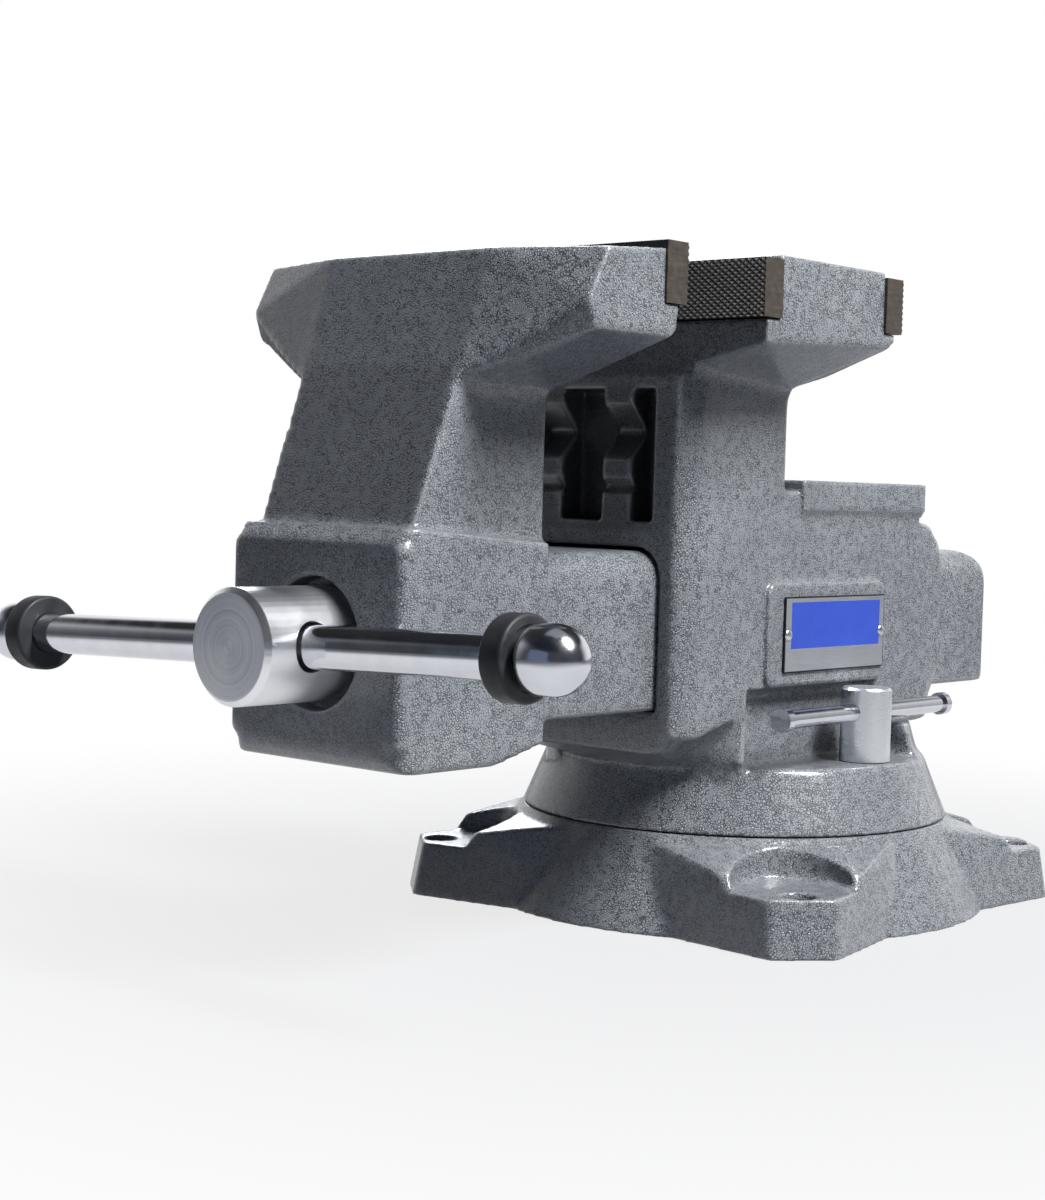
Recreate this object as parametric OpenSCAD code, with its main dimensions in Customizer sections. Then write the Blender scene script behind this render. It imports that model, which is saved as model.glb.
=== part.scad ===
// Reversible bench vise on a swivel base.
// Z is up, the spindle head is at -Y, and the origin is on the underside at the swivel axis.
// Clamping is between the movable jaw and the front fixed jaw insert; pulled out and turned
// round, the movable jaw clamps against the rear insert.

/* [Jaws] */
// Length of the jaw inserts, the vise's nominal jaw width
jaw_w = 165; // [120:1:220]
// How far a casting's end stays inside the insert's end
casting_inset = 0.8; // [0.4:0.1:3]
// Height of a jaw insert
insert_h = 21.2; // [16:0.1:24]
// Thickness of a jaw insert
insert_t = 11.4; // [9:0.1:13]
// Height of the insert tops above the bench
jaw_top = 250; // [244:0.5:262]
// Opening between the inserts as photographed
jaw_gap = 43.8; // [38:0.1:50]
// Widest opening between the inserts
jaw_gap_max = 165; // [120:1:170]
// Place of the front fixed insert's clamping face
clamp_y = -103.3; // [-106:0.1:-101]
// Distance between the front and rear clamping faces of the fixed jaw
fixed_jaw_l = 90.9; // [86:0.1:96]
// Distance of an insert screw from the middle
insert_screw_x = 38; // [25:0.5:60]
// Diameter of an insert screw
insert_screw_d = 8; // [6:0.5:10]
// Diameter of an insert screw's head
insert_screw_head_d = 13; // [11:0.5:15]
// Height of an insert screw's head
insert_screw_head_h = 7; // [5:0.5:8]
// Thread depth of an insert screw in its casting
insert_screw_depth = 14; // [10:0.5:17]

/* [Swivel base] */
// Radius of the base at the bench
base_r = 104; // [100:0.5:112]
// Radius of the base's top under the turntable
base_top_r = 88; // [84:0.5:92]
// Height of the base's top
base_h = 36.6; // [34:0.1:40]
// Length of a lug beyond the middle of its bolt hole
lug_tip_l = 11.7; // [9.5:0.1:18]
// Half width of a lug at its tip
lug_tip_w = 12.6; // [10:0.1:15]
// Height of a lug's bolt pad
lug_pad_h = 21.5; // [16:0.1:24]
// Radius of the bench bolt circle
bolt_circle_r = 122; // [119:0.5:123]
// Diameter of a bench bolt hole
bolt_hole_d = 13; // [9:0.5:15]
// Radius of the wrench recess above a bolt hole
lug_recess_r = 23; // [18:0.5:25]
// Turn of the base lugs from the diagonals
base_turn = 3; // [-10:0.5:10]
// Radius of the ring slot for the lock nuts
lock_r = 64; // [62:0.25:66]
// Width of the ring slot's neck
slot_neck_w = 13; // [12.8:0.1:16]
// Width of the ring slot's hollow
slot_w = 24; // [20:0.5:26]
// Height of the ring slot's hollow
slot_h = 12.5; // [12:0.1:14]
// Thickness of the lips over the ring slot
slot_lip = 9; // [7:0.5:11]

/* [Vise body] */
// Radius of the turntable skirt at its foot
skirt_r = 87.8; // [84:0.1:92]
// Radius of the turntable skirt at its top
skirt_top_r = 78; // [76:0.1:80]
// Height of the turntable skirt
skirt_h = 24.5; // [22:0.5:28]
// Half width of the body
body_w = 51; // [50:0.1:54]
// Place of the body's front face
body_front = -104; // [-108:0.5:-102]
// Place of the body's rear face
body_rear = 75; // [68:0.5:80]
// Height of the body's shoulder above the bench
body_top = 156.5; // [154:0.5:160]
// Radius of the body's rear shoulder
shoulder_r = 16; // [10:0.5:20]
// Height of the anvil face above the bench
anvil_h = 172.3; // [168:0.1:178]
// Thickness of the anvil plate
anvil_t = 11.3; // [8:0.1:13]
// How far the anvil plate stands proud of the body's sides
anvil_proud = 2; // [1:0.1:3]
// Place of the column's rear face
column_rear = -41.5; // [-46:0.5:-38]
// Height of the fixed jaw's underside at its outer ends
wing_low = 220; // [216:0.5:224]
// Height of the fixed jaw's underside at the column
wing_root = 207; // [202:0.5:212]
// Half width of the slide passage's outer wall on the lock side
pocket_wall = 45; // [43:0.5:48]

/* [Slide beam] */
// Half width of the slide beam
beam_w = 38.3; // [36:0.1:39]
// Height of the slide beam's underside above the bench
beam_low = 85; // [83:0.5:88]
// Height of the slide beam
beam_h = 59.1; // [56:0.1:62]
// Radius of the slide beam's top edges
beam_edge_r = 11; // [6:0.5:12]
// Place of the slide beam's rear end
beam_rear = 135.5; // [120:0.5:160]
// Half width of the channel inside the slide beam
channel_w = 27; // [25:0.5:29]
// Thickness of the slide beam's top
beam_roof = 12; // [8:0.5:13]
// Clearance round the slide beam
slide_gap = 0.3; // [0.3:0.05:0.5]

/* [Movable jaw] */
// Half width of the spindle block
block_w = 42; // [40:0.1:44]
// Distance from the movable clamping face to the front of the spindle block
block_reach = 91.4; // [86:0.1:96]
// Height of the spindle block's underside above the bench
block_low = 72; // [68:0.5:76]
// Height of the spindle block's top above the bench
block_top = 152; // [149:0.5:156]
// Half width of the column at its foot
column_w = 37; // [35:0.1:39]
// Height of the movable jaw's underside at its outer ends
movable_wing_low = 218; // [214:0.5:222]
// Height of the movable jaw's underside at the column
movable_wing_root = 201; // [196:0.5:206]

/* [Spindle and handle] */
// Height of the spindle axis above the bench
spindle_z = 112.4; // [110:0.1:115]
// Radius of the spindle head
head_r = 19.3; // [18:0.1:20]
// Length of the spindle head
head_l = 41.6; // [38:0.1:46]
// Radius of the spindle's thread
thread_r = 12.4; // [10:0.1:13.5]
// Reach of the thread behind the main nut at the widest opening
thread_spare = 16.4; // [4:0.1:30]
// Radius of the handle bar
handle_r = 7.2; // [6:0.1:8]
// Half length between the handle's ball centres
handle_half_l = 133.3; // [120:0.1:160]
// Radius of a handle ball
ball_r = 10.7; // [9:0.1:12]
// Outer radius of a rubber ring
ring_r = 13.5; // [12:0.1:14]
// Thickness of a rubber ring
ring_t = 9; // [6:0.1:10]
// How far the handle is slid to the left
handle_shift = 10.4; // [0:0.1:30]
// Tilt of the handle from level
handle_tilt = 1.9; // [-5:0.1:5]
// Distance of the handle from the face of the spindle head
handle_back = 20; // [16:0.5:24]

/* [Swivel locks] */
// Radius of a lock screw's head
lock_head_r = 10.1; // [9:0.1:10.6]
// Height of a lock screw's head
lock_head_h = 29.2; // [26:0.1:32]
// Radius of a lock screw's shank
lock_shank_r = 6; // [5:0.1:6.3]
// Radius of a lock bar
lock_bar_r = 3.5; // [2.5:0.1:4]
// Half length of a lock bar
lock_bar_half_l = 58.5; // [40:0.5:60]
// Radius of a lock bar's button ends
lock_button_r = 4.6; // [4:0.1:5]
// Thickness of a lock bar's button ends
lock_button_t = 3.5; // [2:0.1:5]

/* [Nameplate] */
// Length of the nameplate
plate_l = 70; // [50:0.5:72]
// Height of the nameplate
plate_h = 29.5; // [20:0.5:31]
// Thickness of the nameplate
plate_t = 1; // [0.6:0.1:1.5]
// Place of the nameplate's middle along the body
plate_y = -8.3; // [-10:0.1:-4]
// Diameter of a nameplate rivet
rivet_d = 3; // [2:0.1:3.6]

/* [Hidden] */
$fn = 96;

// Overrun of a cut past the face that it starts on
cut = 1;
// Gap between pieces that seat on each other or pass close by
seat_gap = 0.3;
// Radial clearance of a running fit
run_fit = 0.05;
// Depth of the insert screws' holes in the castings
insert_hole_depth = insert_screw_depth + 1;

// Castings' ends and the places of the clamping faces
casting_w = jaw_w / 2 - casting_inset;
insert_low = jaw_top - insert_h;
movable_clamp_y = clamp_y - jaw_gap;
rear_clamp_y = clamp_y + fixed_jaw_l;
movable_seat_y = movable_clamp_y - insert_t;
front_seat_y = clamp_y + insert_t;
rear_seat_y = rear_clamp_y - insert_t;
insert_mid = jaw_top - insert_h / 2;
// How far a screw's head lies below the clamping face
head_sink = 1;

// Heights of the casting tops at the inserts
movable_rise = -2.2;
fixed_rise = 1.9;
// How far a lip under an insert stays behind the clamping face
lip_back = 3.9;
// Height of a lip under an insert
lip_h = 9.5;

lug_reach = bolt_circle_r + lug_tip_l;
// Lug shape: the sides spread inwards from the lug's own line at these angles at foot and top
lug_spread = 36.9;
lug_top_spread = 33.6;
// Reach of the lug's top where the wrench recess starts, and of its tip at pad height
lug_step_back = 21.2;
lug_step_h = 6.1;
lug_tip_draft = 3.7;
lug_corner_r = 5;
lug_root_r = base_top_r * 0.62;
lug_slab = 0.1;
// Fall of the lug's top just outside the turntable
lug_rim_run = 4;
lug_rim_fall = 3.4;
// How far the lug's root stays under the base's top
lug_under = 0.6;
// How far the wrench recess is centred inside the bolt circle
lug_recess_in = 8;

// Base inside
base_wall = 7;
slot_floor = base_h - slot_lip - slot_h;
slot_floor_t = 8;
hub_r = 34;
hub_bore_r = 10;
hub_sink_r = 19;
hub_web_t = 12;
base_skin = 3;
window_gap = 1;
slot_in_r = lock_r - slot_w / 2;
slot_out_r = lock_r + slot_w / 2;

// Turntable
turntable_gap = 0.4;
skirt_edge = 1;
skirt_low = base_h + turntable_gap;
ledge_z = skirt_low + skirt_h;
neck_r = skirt_top_r - 2.5;
neck_top_r = skirt_top_r - 6.5;
neck_h = 13.5;
// Underside of the body in front of the turntable
under_front_r = 104;
under_front_z = ledge_z + 12.5;
under_corner_r = 125;
under_corner_z = ledge_z + 15;

// Body plan and section
chamfer_x = 4.6;
chamfer_y = 9;
body_corner_r = 8;
body_low = ledge_z + 11;
body_rear_low_r = 14;
column_fillet_r = 14;
wing_rear_rise = 3.5;
wing_rear_root = 6;
wing_edge_r = 3;
anvil_front = column_rear + 9.5;
anvil_rear = body_rear - 17.7;
anvil_slot_h = 4.2;
anvil_corner_r = 1.5;
anvil_cove = 2;

// Slide passage
beam_top = beam_low + beam_h;
passage_top_gap = 1.2;

// Pipe jaw recess in the column's front
recess_w = 34.8;
recess_depth = 12.5;
recess_low = beam_top + 11;
recess_top = 204;
pad_in = 10;
pad_out = 24.3;
pad_low = beam_top + 11.5;
notch_low = 177.6;
notch_high = 198.7;
notch_deep = 9.7;
small_notch_low = 164.6;
small_notch_high = 170.9;
small_notch_deep = 3;

// Raised pad for the nameplate
pad_y0 = -53;
pad_y1 = 28;
pad_z0 = 92;
pad_z1 = 132.5;
pad_t = 2;
pad_corner_r = 5;
plate_z = (pad_z0 + pad_z1) / 2;
plate_corner_r = 1.5;
rivet_in = 2.4;
rivet_head_h = 0.9;
rivet_l = 5;
rivet_hole = 6;
rivet_head_r = rivet_d * 0.75;

// Lock pockets
pocket_front = -62;
pocket_rear = 26;
pocket_top = pad_z0 - 0.5;
pocket_corner_r = 6;
lock_z = 81.2;
lock_tip = slot_floor + 2;
lock_nut_l = 34;
lock_nut_w = 19;
lock_nut_h = 10.5;
lock_edge = 1;

// Movable jaw section
column_rear_y = movable_clamp_y - 13.4;
block_front = movable_clamp_y - block_reach;
block_corner_r = 10;
block_chamfer = 8;
block_low_rise = 8;
block_low_run = 32;
block_edge = 5;
collar_room = 1;
column_foot_y = block_front + 7;
column_foot_z = block_top - block_edge - 1;
movable_top = jaw_top + movable_rise;
lip_y = movable_clamp_y - lip_back;
top_bow = 2;
column_head_w = 39;
top_front_y = movable_seat_y - 38.3;
root_front_y = movable_seat_y - 53;
end_front_top = 29.4;
end_front_nose = 38;
end_nose_h = 17;
end_front_low = 34.5;
head_recess_r = 22.5;
head_recess_deep = 8;
wall_t = 24;
washer_t = 1.3;
washer_r = 19;

// Spindle
recess_floor = block_front + head_recess_deep;
head_rear = recess_floor - washer_t - 2 * seat_gap;
head_front = head_rear - head_l;
head_chamfer = 1.8;
handle_y = head_front + handle_back;
wall_rear = recess_floor + wall_t;
collar_l = 11;
collar_r = 18.6;
collar_y = wall_rear + seat_gap;
pin_r = 2.5;
pin_half_l = collar_r - 1;
thread_end = 3;

// Main nut
nut_y = -60;
nut_l = 40;
nut_half_w = 22;
nut_r = 19;
nut_bolt_r = 6;
nut_bolt_head_r = 9.5;
nut_bolt_head_h = 8;
nut_bolt_sink_r = 11;
nut_bolt_sink = 16;
nut_bolt_bite = 10;
thread_l = nut_y + nut_l / 2 - head_rear + jaw_gap_max - jaw_gap + thread_spare;

// Swivel pivot
pivot_r = hub_bore_r - run_fit;
pivot_head_r = 15;
pivot_head_h = 8;
pivot_washer_t = 2.5;
pivot_washer_r = 18;
pivot_bite = 30;
hub_low = base_h - hub_web_t;

// Rounded outlines: each corner of a list of points gets its own radius
function unit(v) = v / norm(v);
function turn(a, b) = (b - a) - 360 * round((b - a) / 360);
function corner(p, q, s, r, n) =
    r == 0 ? [q] :
    let (u = unit(p - q), v = unit(s - q), half = acos(u * v) / 2, m = q + unit(u + v) * r / sin(half),
        a0 = q + u * r / tan(half) - m, a1 = q + v * r / tan(half) - m,
        a = atan2(a0[1], a0[0]), d = turn(a, atan2(a1[1], a1[0])))
    [for (i = [0:n]) m + r * [cos(a + d * i / n), sin(a + d * i / n)]];
function rounded(points, radii, n = 6) =
    let (m = len(points))
    [for (i = [0:m - 1]) each corner(points[(i + m - 1) % m], points[i], points[(i + 1) % m], radii[i], n)];
function mirrored(half) = concat(half, [for (i = [len(half) - 1:-1:0]) [-half[i][0], half[i][1]]]);

// An outline in Y and Z, drawn through the body from side to side
module side_outline(points, half_w) {
    rotate([90, 0, 90])
        translate([0, 0, -half_w])
            linear_extrude(2 * half_w)
                polygon(points);
}

// An outline in X and Z, drawn from y0 to y1
module front_outline(points, y0, y1) {
    translate([0, y1, 0])
        rotate([90, 0, 0])
            linear_extrude(y1 - y0)
                polygon(points);
}

// An outline in X and Y, drawn from z0 to z1
module plan_outline(points, z0, z1) {
    translate([0, 0, z0])
        linear_extrude(z1 - z0)
            polygon(points);
}

module block(x0, x1, y0, y1, z0, z1) {
    translate([x0, y0, z0])
        cube([x1 - x0, y1 - y0, z1 - z0]);
}

module rod_x(r, x0, x1, y, z) {
    translate([x0, y, z])
        rotate([0, 90, 0])
            cylinder(r = r, h = x1 - x0);
}

module rod_y(r, y0, y1, x, z) {
    translate([x, y0, z])
        rotate([-90, 0, 0])
            cylinder(r = r, h = y1 - y0);
}

module rod_z(r, z0, z1, x, y) {
    translate([x, y, z0])
        cylinder(r = r, h = z1 - z0);
}

// Stands the children, drawn up from z = 0 in X and Z, between two places along Y
module span_y(a, b) {
    translate([0, max(a, b), 0])
        rotate([90, 0, 0])
            children();
}

module both_sides() {
    children();
    mirror([1, 0, 0])
        children();
}

// Plan of a lug that reaches to x and whose sides spread inwards at an angle
function lug_plan(x, spread) =
    let (root_w = lug_tip_w + (x - lug_root_r) * tan(spread))
    rounded([[lug_root_r, -root_w], [x, -lug_tip_w], [x, lug_tip_w], [lug_root_r, root_w]],
        [0, lug_corner_r, lug_corner_r, 0]);

// One base lug, drawn along +X
module lug() {
    step_r = lug_reach - lug_step_back;
    intersection() {
        // The foot is wider at the root than the top, so the sides lean in towards the turntable
        hull() {
            plan_outline(lug_plan(lug_reach, lug_spread), 0, lug_slab);
            plan_outline(lug_plan(lug_reach - lug_tip_draft * base_h / lug_pad_h, lug_top_spread),
                base_h - lug_slab, base_h);
        }
        rotate_extrude()
            polygon([[hub_bore_r, 0], [lug_reach + lug_tip_w, 0], [lug_reach + lug_tip_w, lug_pad_h],
                [step_r + lug_tip_draft, lug_pad_h], [step_r, lug_pad_h + lug_step_h],
                [base_top_r + lug_rim_run, base_h - lug_rim_fall],
                [base_top_r - lug_rim_run, base_h - lug_under], [hub_bore_r, base_h - lug_under]]);
    }
}

module lug_cuts() {
    rod_z(lug_recess_r, lug_pad_h, base_h + cut, bolt_circle_r - lug_recess_in, 0);
    rod_z(bolt_hole_d / 2, -cut, base_h + cut, bolt_circle_r, 0);
}

module at_lugs() {
    for (i = [0:3])
        rotate([0, 0, base_turn + 45 + 90 * i])
            children();
}

module swivel_base() {
    color("#8d9197")
    difference() {
        union() {
            rotate_extrude()
                polygon([[0, 0], [base_r, 0], [base_top_r, base_h], [0, base_h]]);
            at_lugs() lug();
        }
        at_lugs() lug_cuts();
        // Hollow under the ring, open to the bench
        rotate_extrude()
            polygon([[slot_out_r + 2 * base_skin, -cut], [base_r - base_wall, -cut],
                [base_r - 2 * base_wall, slot_floor], [slot_out_r + 2 * base_skin, slot_floor]]);
        rotate_extrude()
            polygon([[hub_r, -cut], [slot_out_r - base_skin, -cut],
                [slot_out_r - base_skin, slot_floor - slot_floor_t],
                [hub_r, slot_floor - slot_floor_t]]);
        // Ring slot for the lock nuts
        rotate_extrude()
            polygon([[slot_in_r, slot_floor], [slot_out_r, slot_floor], [slot_out_r, slot_floor + slot_h],
                [lock_r + slot_neck_w / 2, slot_floor + slot_h], [lock_r + slot_neck_w / 2, base_h + cut],
                [lock_r - slot_neck_w / 2, base_h + cut], [lock_r - slot_neck_w / 2, slot_floor + slot_h],
                [slot_in_r, slot_floor + slot_h]]);
        // Window through which the lock nuts are put in
        block(-lock_nut_l / 2 - window_gap, lock_nut_l / 2 + window_gap,
            lock_r - lock_nut_w / 2 - window_gap, lock_r + lock_nut_w / 2 + window_gap,
            -cut, slot_floor + cut);
        rod_z(hub_sink_r, -cut, hub_low, 0, 0);
        rod_z(hub_bore_r, -cut, base_h + cut, 0, 0);
    }
}

body_plan = mirrored([[body_w - chamfer_x, body_front], [body_w, body_front + chamfer_y],
    [body_w, body_rear - body_corner_r], [body_w - body_corner_r, body_rear]]);

module fixed_jaw_bar() {
    lip_y = clamp_y + lip_back;
    rear_lip_y = rear_clamp_y - lip_back - seat_gap;
    hull() {
        side_outline([[lip_y, wing_low], [rear_lip_y - wing_edge_r, wing_low + wing_rear_rise],
            [rear_lip_y, wing_low + wing_rear_rise + wing_edge_r], [rear_lip_y, jaw_top + fixed_rise],
            [lip_y, jaw_top + fixed_rise]], casting_w);
        side_outline([[lip_y, wing_root + wing_rear_root], [column_rear, wing_root],
            [rear_lip_y, wing_root + wing_rear_root], [rear_lip_y, jaw_top], [lip_y, jaw_top]], body_w);
    }
}

module pipe_pads() {
    back = body_front + recess_depth + cut;
    both_sides()
        translate([pad_in, 0, 0])
            rotate([90, 0, 90])
                linear_extrude(pad_out - pad_in)
                    polygon([[back, pad_low], [body_front, pad_low],
                        [body_front, small_notch_low],
                        [body_front + small_notch_deep, (small_notch_low + small_notch_high) / 2],
                        [body_front, small_notch_high], [body_front, notch_low],
                        [body_front + notch_deep, (notch_low + notch_high) / 2],
                        [body_front, notch_high], [body_front, recess_top + cut], [back, recess_top + cut]]);
}

module column_and_body() {
    // Body round the slide passage, with its rounded rear shoulder
    intersection() {
        plan_outline(body_plan, ledge_z - cut, body_top);
        side_outline(rounded([[body_front, body_low], [body_rear, body_low], [body_rear, body_top],
            [body_front, body_top]], [0, body_rear_low_r, shoulder_r, 0]), body_w + cut);
    }
    // Front foot of the body down to the turntable
    plan_outline([for (p = body_plan) [p[0], min(p[1], 0)]], ledge_z - cut, body_low + cut);
    // Column under the fixed jaw, with the fillet to the jaw's overhang behind it
    intersection() {
        plan_outline([for (p = body_plan) [p[0], p[1] < 0 ? p[1] : rear_seat_y]],
            body_top - cut, wing_root + lip_h);
        side_outline(rounded([[body_front, body_top - cut], [column_rear, body_top - cut],
            [column_rear, wing_root], [rear_seat_y, wing_root + lip_h],
            [clamp_y + lip_back, wing_root + lip_h], [body_front, wing_root - cut]],
            [0, 0, column_fillet_r, 0, 0, 0]), body_w + cut);
    }
}

module anvil() {
    plate = [[anvil_front, body_top - cut], [anvil_rear - anvil_cove, body_top - cut],
        [anvil_rear - anvil_cove, anvil_h - anvil_t - anvil_cove], [anvil_rear, anvil_h - anvil_t],
        [anvil_rear, anvil_h], [anvil_front, anvil_h]];
    side_outline(rounded(plate, [0, 0, 0, 0, anvil_corner_r, 0]), body_w);
    front_outline(mirrored([[body_w - cut, anvil_h - anvil_t - 2 * anvil_cove],
        [body_w + anvil_proud, anvil_h - anvil_t],
        [body_w + anvil_proud, anvil_h]]), anvil_front, anvil_rear);
    block(-body_w, body_w, column_rear - cut, anvil_front + cut, body_top - cut, anvil_h - anvil_slot_h);
}

module turntable() {
    rotate_extrude()
        polygon([[0, skirt_low], [skirt_r, skirt_low], [skirt_top_r, ledge_z - skirt_edge],
            [skirt_top_r - skirt_edge, ledge_z], [neck_r, ledge_z], [neck_top_r, ledge_z + neck_h],
            [0, ledge_z + neck_h]]);
}

module lock_pocket() {
    plan_outline(rounded([[pocket_wall, pocket_front], [body_w + skirt_r, pocket_front],
        [body_w + skirt_r, pocket_rear], [pocket_wall, pocket_rear]],
        [pocket_corner_r, 0, 0, pocket_corner_r]), ledge_z, pocket_top);
    rod_z(lock_shank_r + run_fit, skirt_low - cut, ledge_z + cut, lock_r, 0);
}

module at_rivets() {
    for (s = [-1, 1])
        translate([0, plate_y + s * (plate_l / 2 - rivet_in), 0])
            children();
}

module insert_holes(y, depth) {
    both_sides()
        rod_y(insert_screw_d / 2 + run_fit, y, y + depth, insert_screw_x, insert_mid);
}

module vise_body() {
    color("#8d9197")
    difference() {
        union() {
            difference() {
                column_and_body();
                block(-recess_w, recess_w, body_front - cut, body_front + recess_depth,
                    recess_low, recess_top);
                // Sloping underside in front of the turntable
                rotate_extrude()
                    polygon([[skirt_top_r, ledge_z - 2 * cut], [skirt_top_r, ledge_z],
                        [under_front_r, under_front_z], [under_corner_r, under_corner_z],
                        [under_corner_r, ledge_z - 2 * cut]]);
            }
            turntable();
            fixed_jaw_bar();
            anvil();
            pipe_pads();
            intersection() {
                block(0, body_w + pad_t, pad_y0, pad_y1, pad_z0, pad_z1);
                translate([body_w - cut, 0, 0])
                    rotate([90, 0, 90])
                        linear_extrude(pad_t + cut)
                            polygon(rounded([[pad_y0, pad_z0], [pad_y1, pad_z0], [pad_y1, pad_z1],
                                [pad_y0, pad_z1]], [for (i = [0:3]) pad_corner_r]));
            }
        }
        // Passage for the slide beam
        front_outline(rounded(mirrored([[beam_w + slide_gap, beam_low - slide_gap],
            [beam_w + slide_gap, beam_top + passage_top_gap]]),
            [0, beam_edge_r, beam_edge_r, 0]), body_front - cut, body_rear + cut);
        // Seats of the two fixed inserts
        block(-jaw_w, jaw_w, clamp_y - cut, front_seat_y, insert_low, 2 * jaw_top);
        block(-jaw_w, jaw_w, rear_seat_y, rear_clamp_y + cut, insert_low, 2 * jaw_top);
        insert_holes(front_seat_y - cut, insert_hole_depth + cut);
        insert_holes(rear_seat_y - insert_hole_depth, insert_hole_depth + cut);
        both_sides() lock_pocket();
        rod_z(pivot_r + run_fit, skirt_low - cut, base_h + pivot_bite + cut, 0, 0);
        rod_z(nut_bolt_sink_r, skirt_low - cut, skirt_low + nut_bolt_sink, 0, nut_y);
        rod_z(nut_bolt_r + run_fit, skirt_low, beam_low + cut, 0, nut_y);
        at_rivets()
            rod_x(rivet_d / 2 + run_fit, body_w + pad_t - rivet_hole, body_w + pad_t + cut, 0, plate_z);
    }
}

block_plan = rounded(mirrored([[block_w, block_front], [block_w, column_rear_y - block_chamfer],
    [block_w - block_chamfer, column_rear_y]]), [block_corner_r, 0, 0, 0, 0, block_corner_r]);

module spindle_block() {
    intersection() {
        plan_outline(block_plan, block_low - cut, block_top + cut);
        side_outline([[block_front, block_low + block_edge], [block_front + block_edge, block_low],
            [column_rear_y - block_low_run, block_low], [column_rear_y, block_low + block_low_rise],
            [column_rear_y, block_top - block_edge], [block_front + block_edge, block_top],
            [block_front, block_top - block_edge]], block_w + cut);
    }
}

module movable_column() {
    intersection() {
        side_outline([[column_foot_y, column_foot_z], [column_rear_y, column_foot_z],
            [column_rear_y, movable_wing_root], [lip_y, movable_wing_root + lip_h],
            [lip_y, movable_top], [top_front_y, movable_top - top_bow]], casting_w);
        front_outline(mirrored([[column_w, column_foot_z], [column_head_w, movable_wing_root],
            [column_head_w, jaw_top]]), block_front, clamp_y);
        plan_outline(mirrored([[column_head_w, block_front], [column_head_w, column_rear_y - block_chamfer],
            [column_head_w - block_chamfer, column_rear_y], [column_head_w - block_chamfer, clamp_y]]),
            block_low, jaw_top);
    }
}

module movable_wings() {
    end_top = movable_top - wing_edge_r;
    both_sides()
        hull() {
            translate([casting_w - wing_edge_r, 0, 0])
                rotate([90, 0, 90])
                    linear_extrude(wing_edge_r)
                        polygon([[movable_seat_y - end_front_low, movable_wing_low],
                            [lip_y - wing_edge_r, movable_wing_low], [lip_y, movable_wing_low + wing_edge_r],
                            [lip_y, movable_top], [movable_seat_y - end_front_top, end_top],
                            [movable_seat_y - end_front_nose, end_top - end_nose_h]]);
            rotate([90, 0, 90])
                linear_extrude(column_head_w)
                    polygon([[root_front_y, movable_wing_root], [column_rear_y, movable_wing_root],
                        [lip_y, movable_wing_root + lip_h], [lip_y, movable_top],
                        [top_front_y, movable_top - top_bow]]);
        }
}

module slide_beam() {
    intersection() {
        front_outline(rounded(mirrored([[beam_w, beam_low], [beam_w, beam_top]]),
            [0, beam_edge_r, beam_edge_r, 0]), column_rear_y - block_chamfer - cut, beam_rear);
        side_outline(rounded([[block_front, beam_low], [beam_rear, beam_low], [beam_rear, beam_top],
            [block_front, beam_top]], [0, wing_edge_r, shoulder_r, 0]), beam_w + cut);
    }
}

module movable_jaw() {
    color("#8d9197")
    difference() {
        union() {
            spindle_block();
            movable_column();
            movable_wings();
            slide_beam();
        }
        block(-jaw_w, jaw_w, movable_seat_y, movable_clamp_y + cut, insert_low, 2 * jaw_top);
        // Channel for the spindle and the main nut, open below behind the block
        block(-channel_w, channel_w, wall_rear, column_rear_y + cut, spindle_z - collar_r - collar_room,
            beam_top - beam_roof);
        block(-channel_w, channel_w, column_rear_y, beam_rear + cut, block_low - cut, beam_top - beam_roof);
        rod_y(head_recess_r, block_front - cut, recess_floor, 0, spindle_z);
        rod_y(thread_r + run_fit, block_front, wall_rear + cut, 0, spindle_z);
        insert_holes(movable_seat_y - insert_hole_depth, insert_hole_depth + cut);
    }
}

// An insert's clamping face is at y, and d is 1 where it looks towards +Y
module jaw_insert(y, d) {
    color("#3c3a38")
    difference() {
        span_y(y, y - d * insert_t)
            linear_extrude(insert_t)
                translate([-jaw_w / 2, insert_low + seat_gap])
                    square([jaw_w, insert_h - seat_gap]);
        both_sides() {
            rod_y(insert_screw_d / 2 + run_fit, y - 2 * insert_t, y + 2 * insert_t,
                insert_screw_x, insert_mid);
            span_y(y + d * cut, y - d * (insert_screw_head_h + head_sink))
                translate([insert_screw_x, insert_mid, 0])
                    cylinder(d = insert_screw_head_d + seat_gap, h = insert_screw_head_h + head_sink + cut);
        }
    }
}

// Cap screws of one insert, with hexagon sockets
module insert_screws(y, d) {
    head_y = y - d * head_sink;
    end_y = y - d * (insert_t + insert_screw_depth);
    socket_y = head_y - d * insert_screw_head_h / 2;
    color("#2e2e30")
    both_sides()
        difference() {
            union() {
                span_y(head_y, head_y - d * insert_screw_head_h)
                    translate([insert_screw_x, insert_mid, 0])
                        cylinder(d = insert_screw_head_d, h = insert_screw_head_h);
                span_y(head_y, end_y)
                    translate([insert_screw_x, insert_mid, 0])
                        cylinder(d = insert_screw_d, h = abs(end_y - head_y));
            }
            span_y(y, socket_y)
                translate([insert_screw_x, insert_mid, 0])
                    cylinder(d = insert_screw_d * 0.9, h = abs(y - socket_y), $fn = 6);
        }
}

module movable_jaw_insert() { jaw_insert(movable_clamp_y, 1); }
module front_jaw_insert() { jaw_insert(clamp_y, -1); }
module rear_jaw_insert() { jaw_insert(rear_clamp_y, 1); }
module movable_insert_screws() { insert_screws(movable_clamp_y, 1); }
module front_insert_screws() { insert_screws(clamp_y, -1); }
module rear_insert_screws() { insert_screws(rear_clamp_y, 1); }

module spindle_turned() {
    translate([0, 0, spindle_z])
        rotate([0, -handle_tilt, 0])
            translate([0, 0, -spindle_z])
                children();
}

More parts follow.
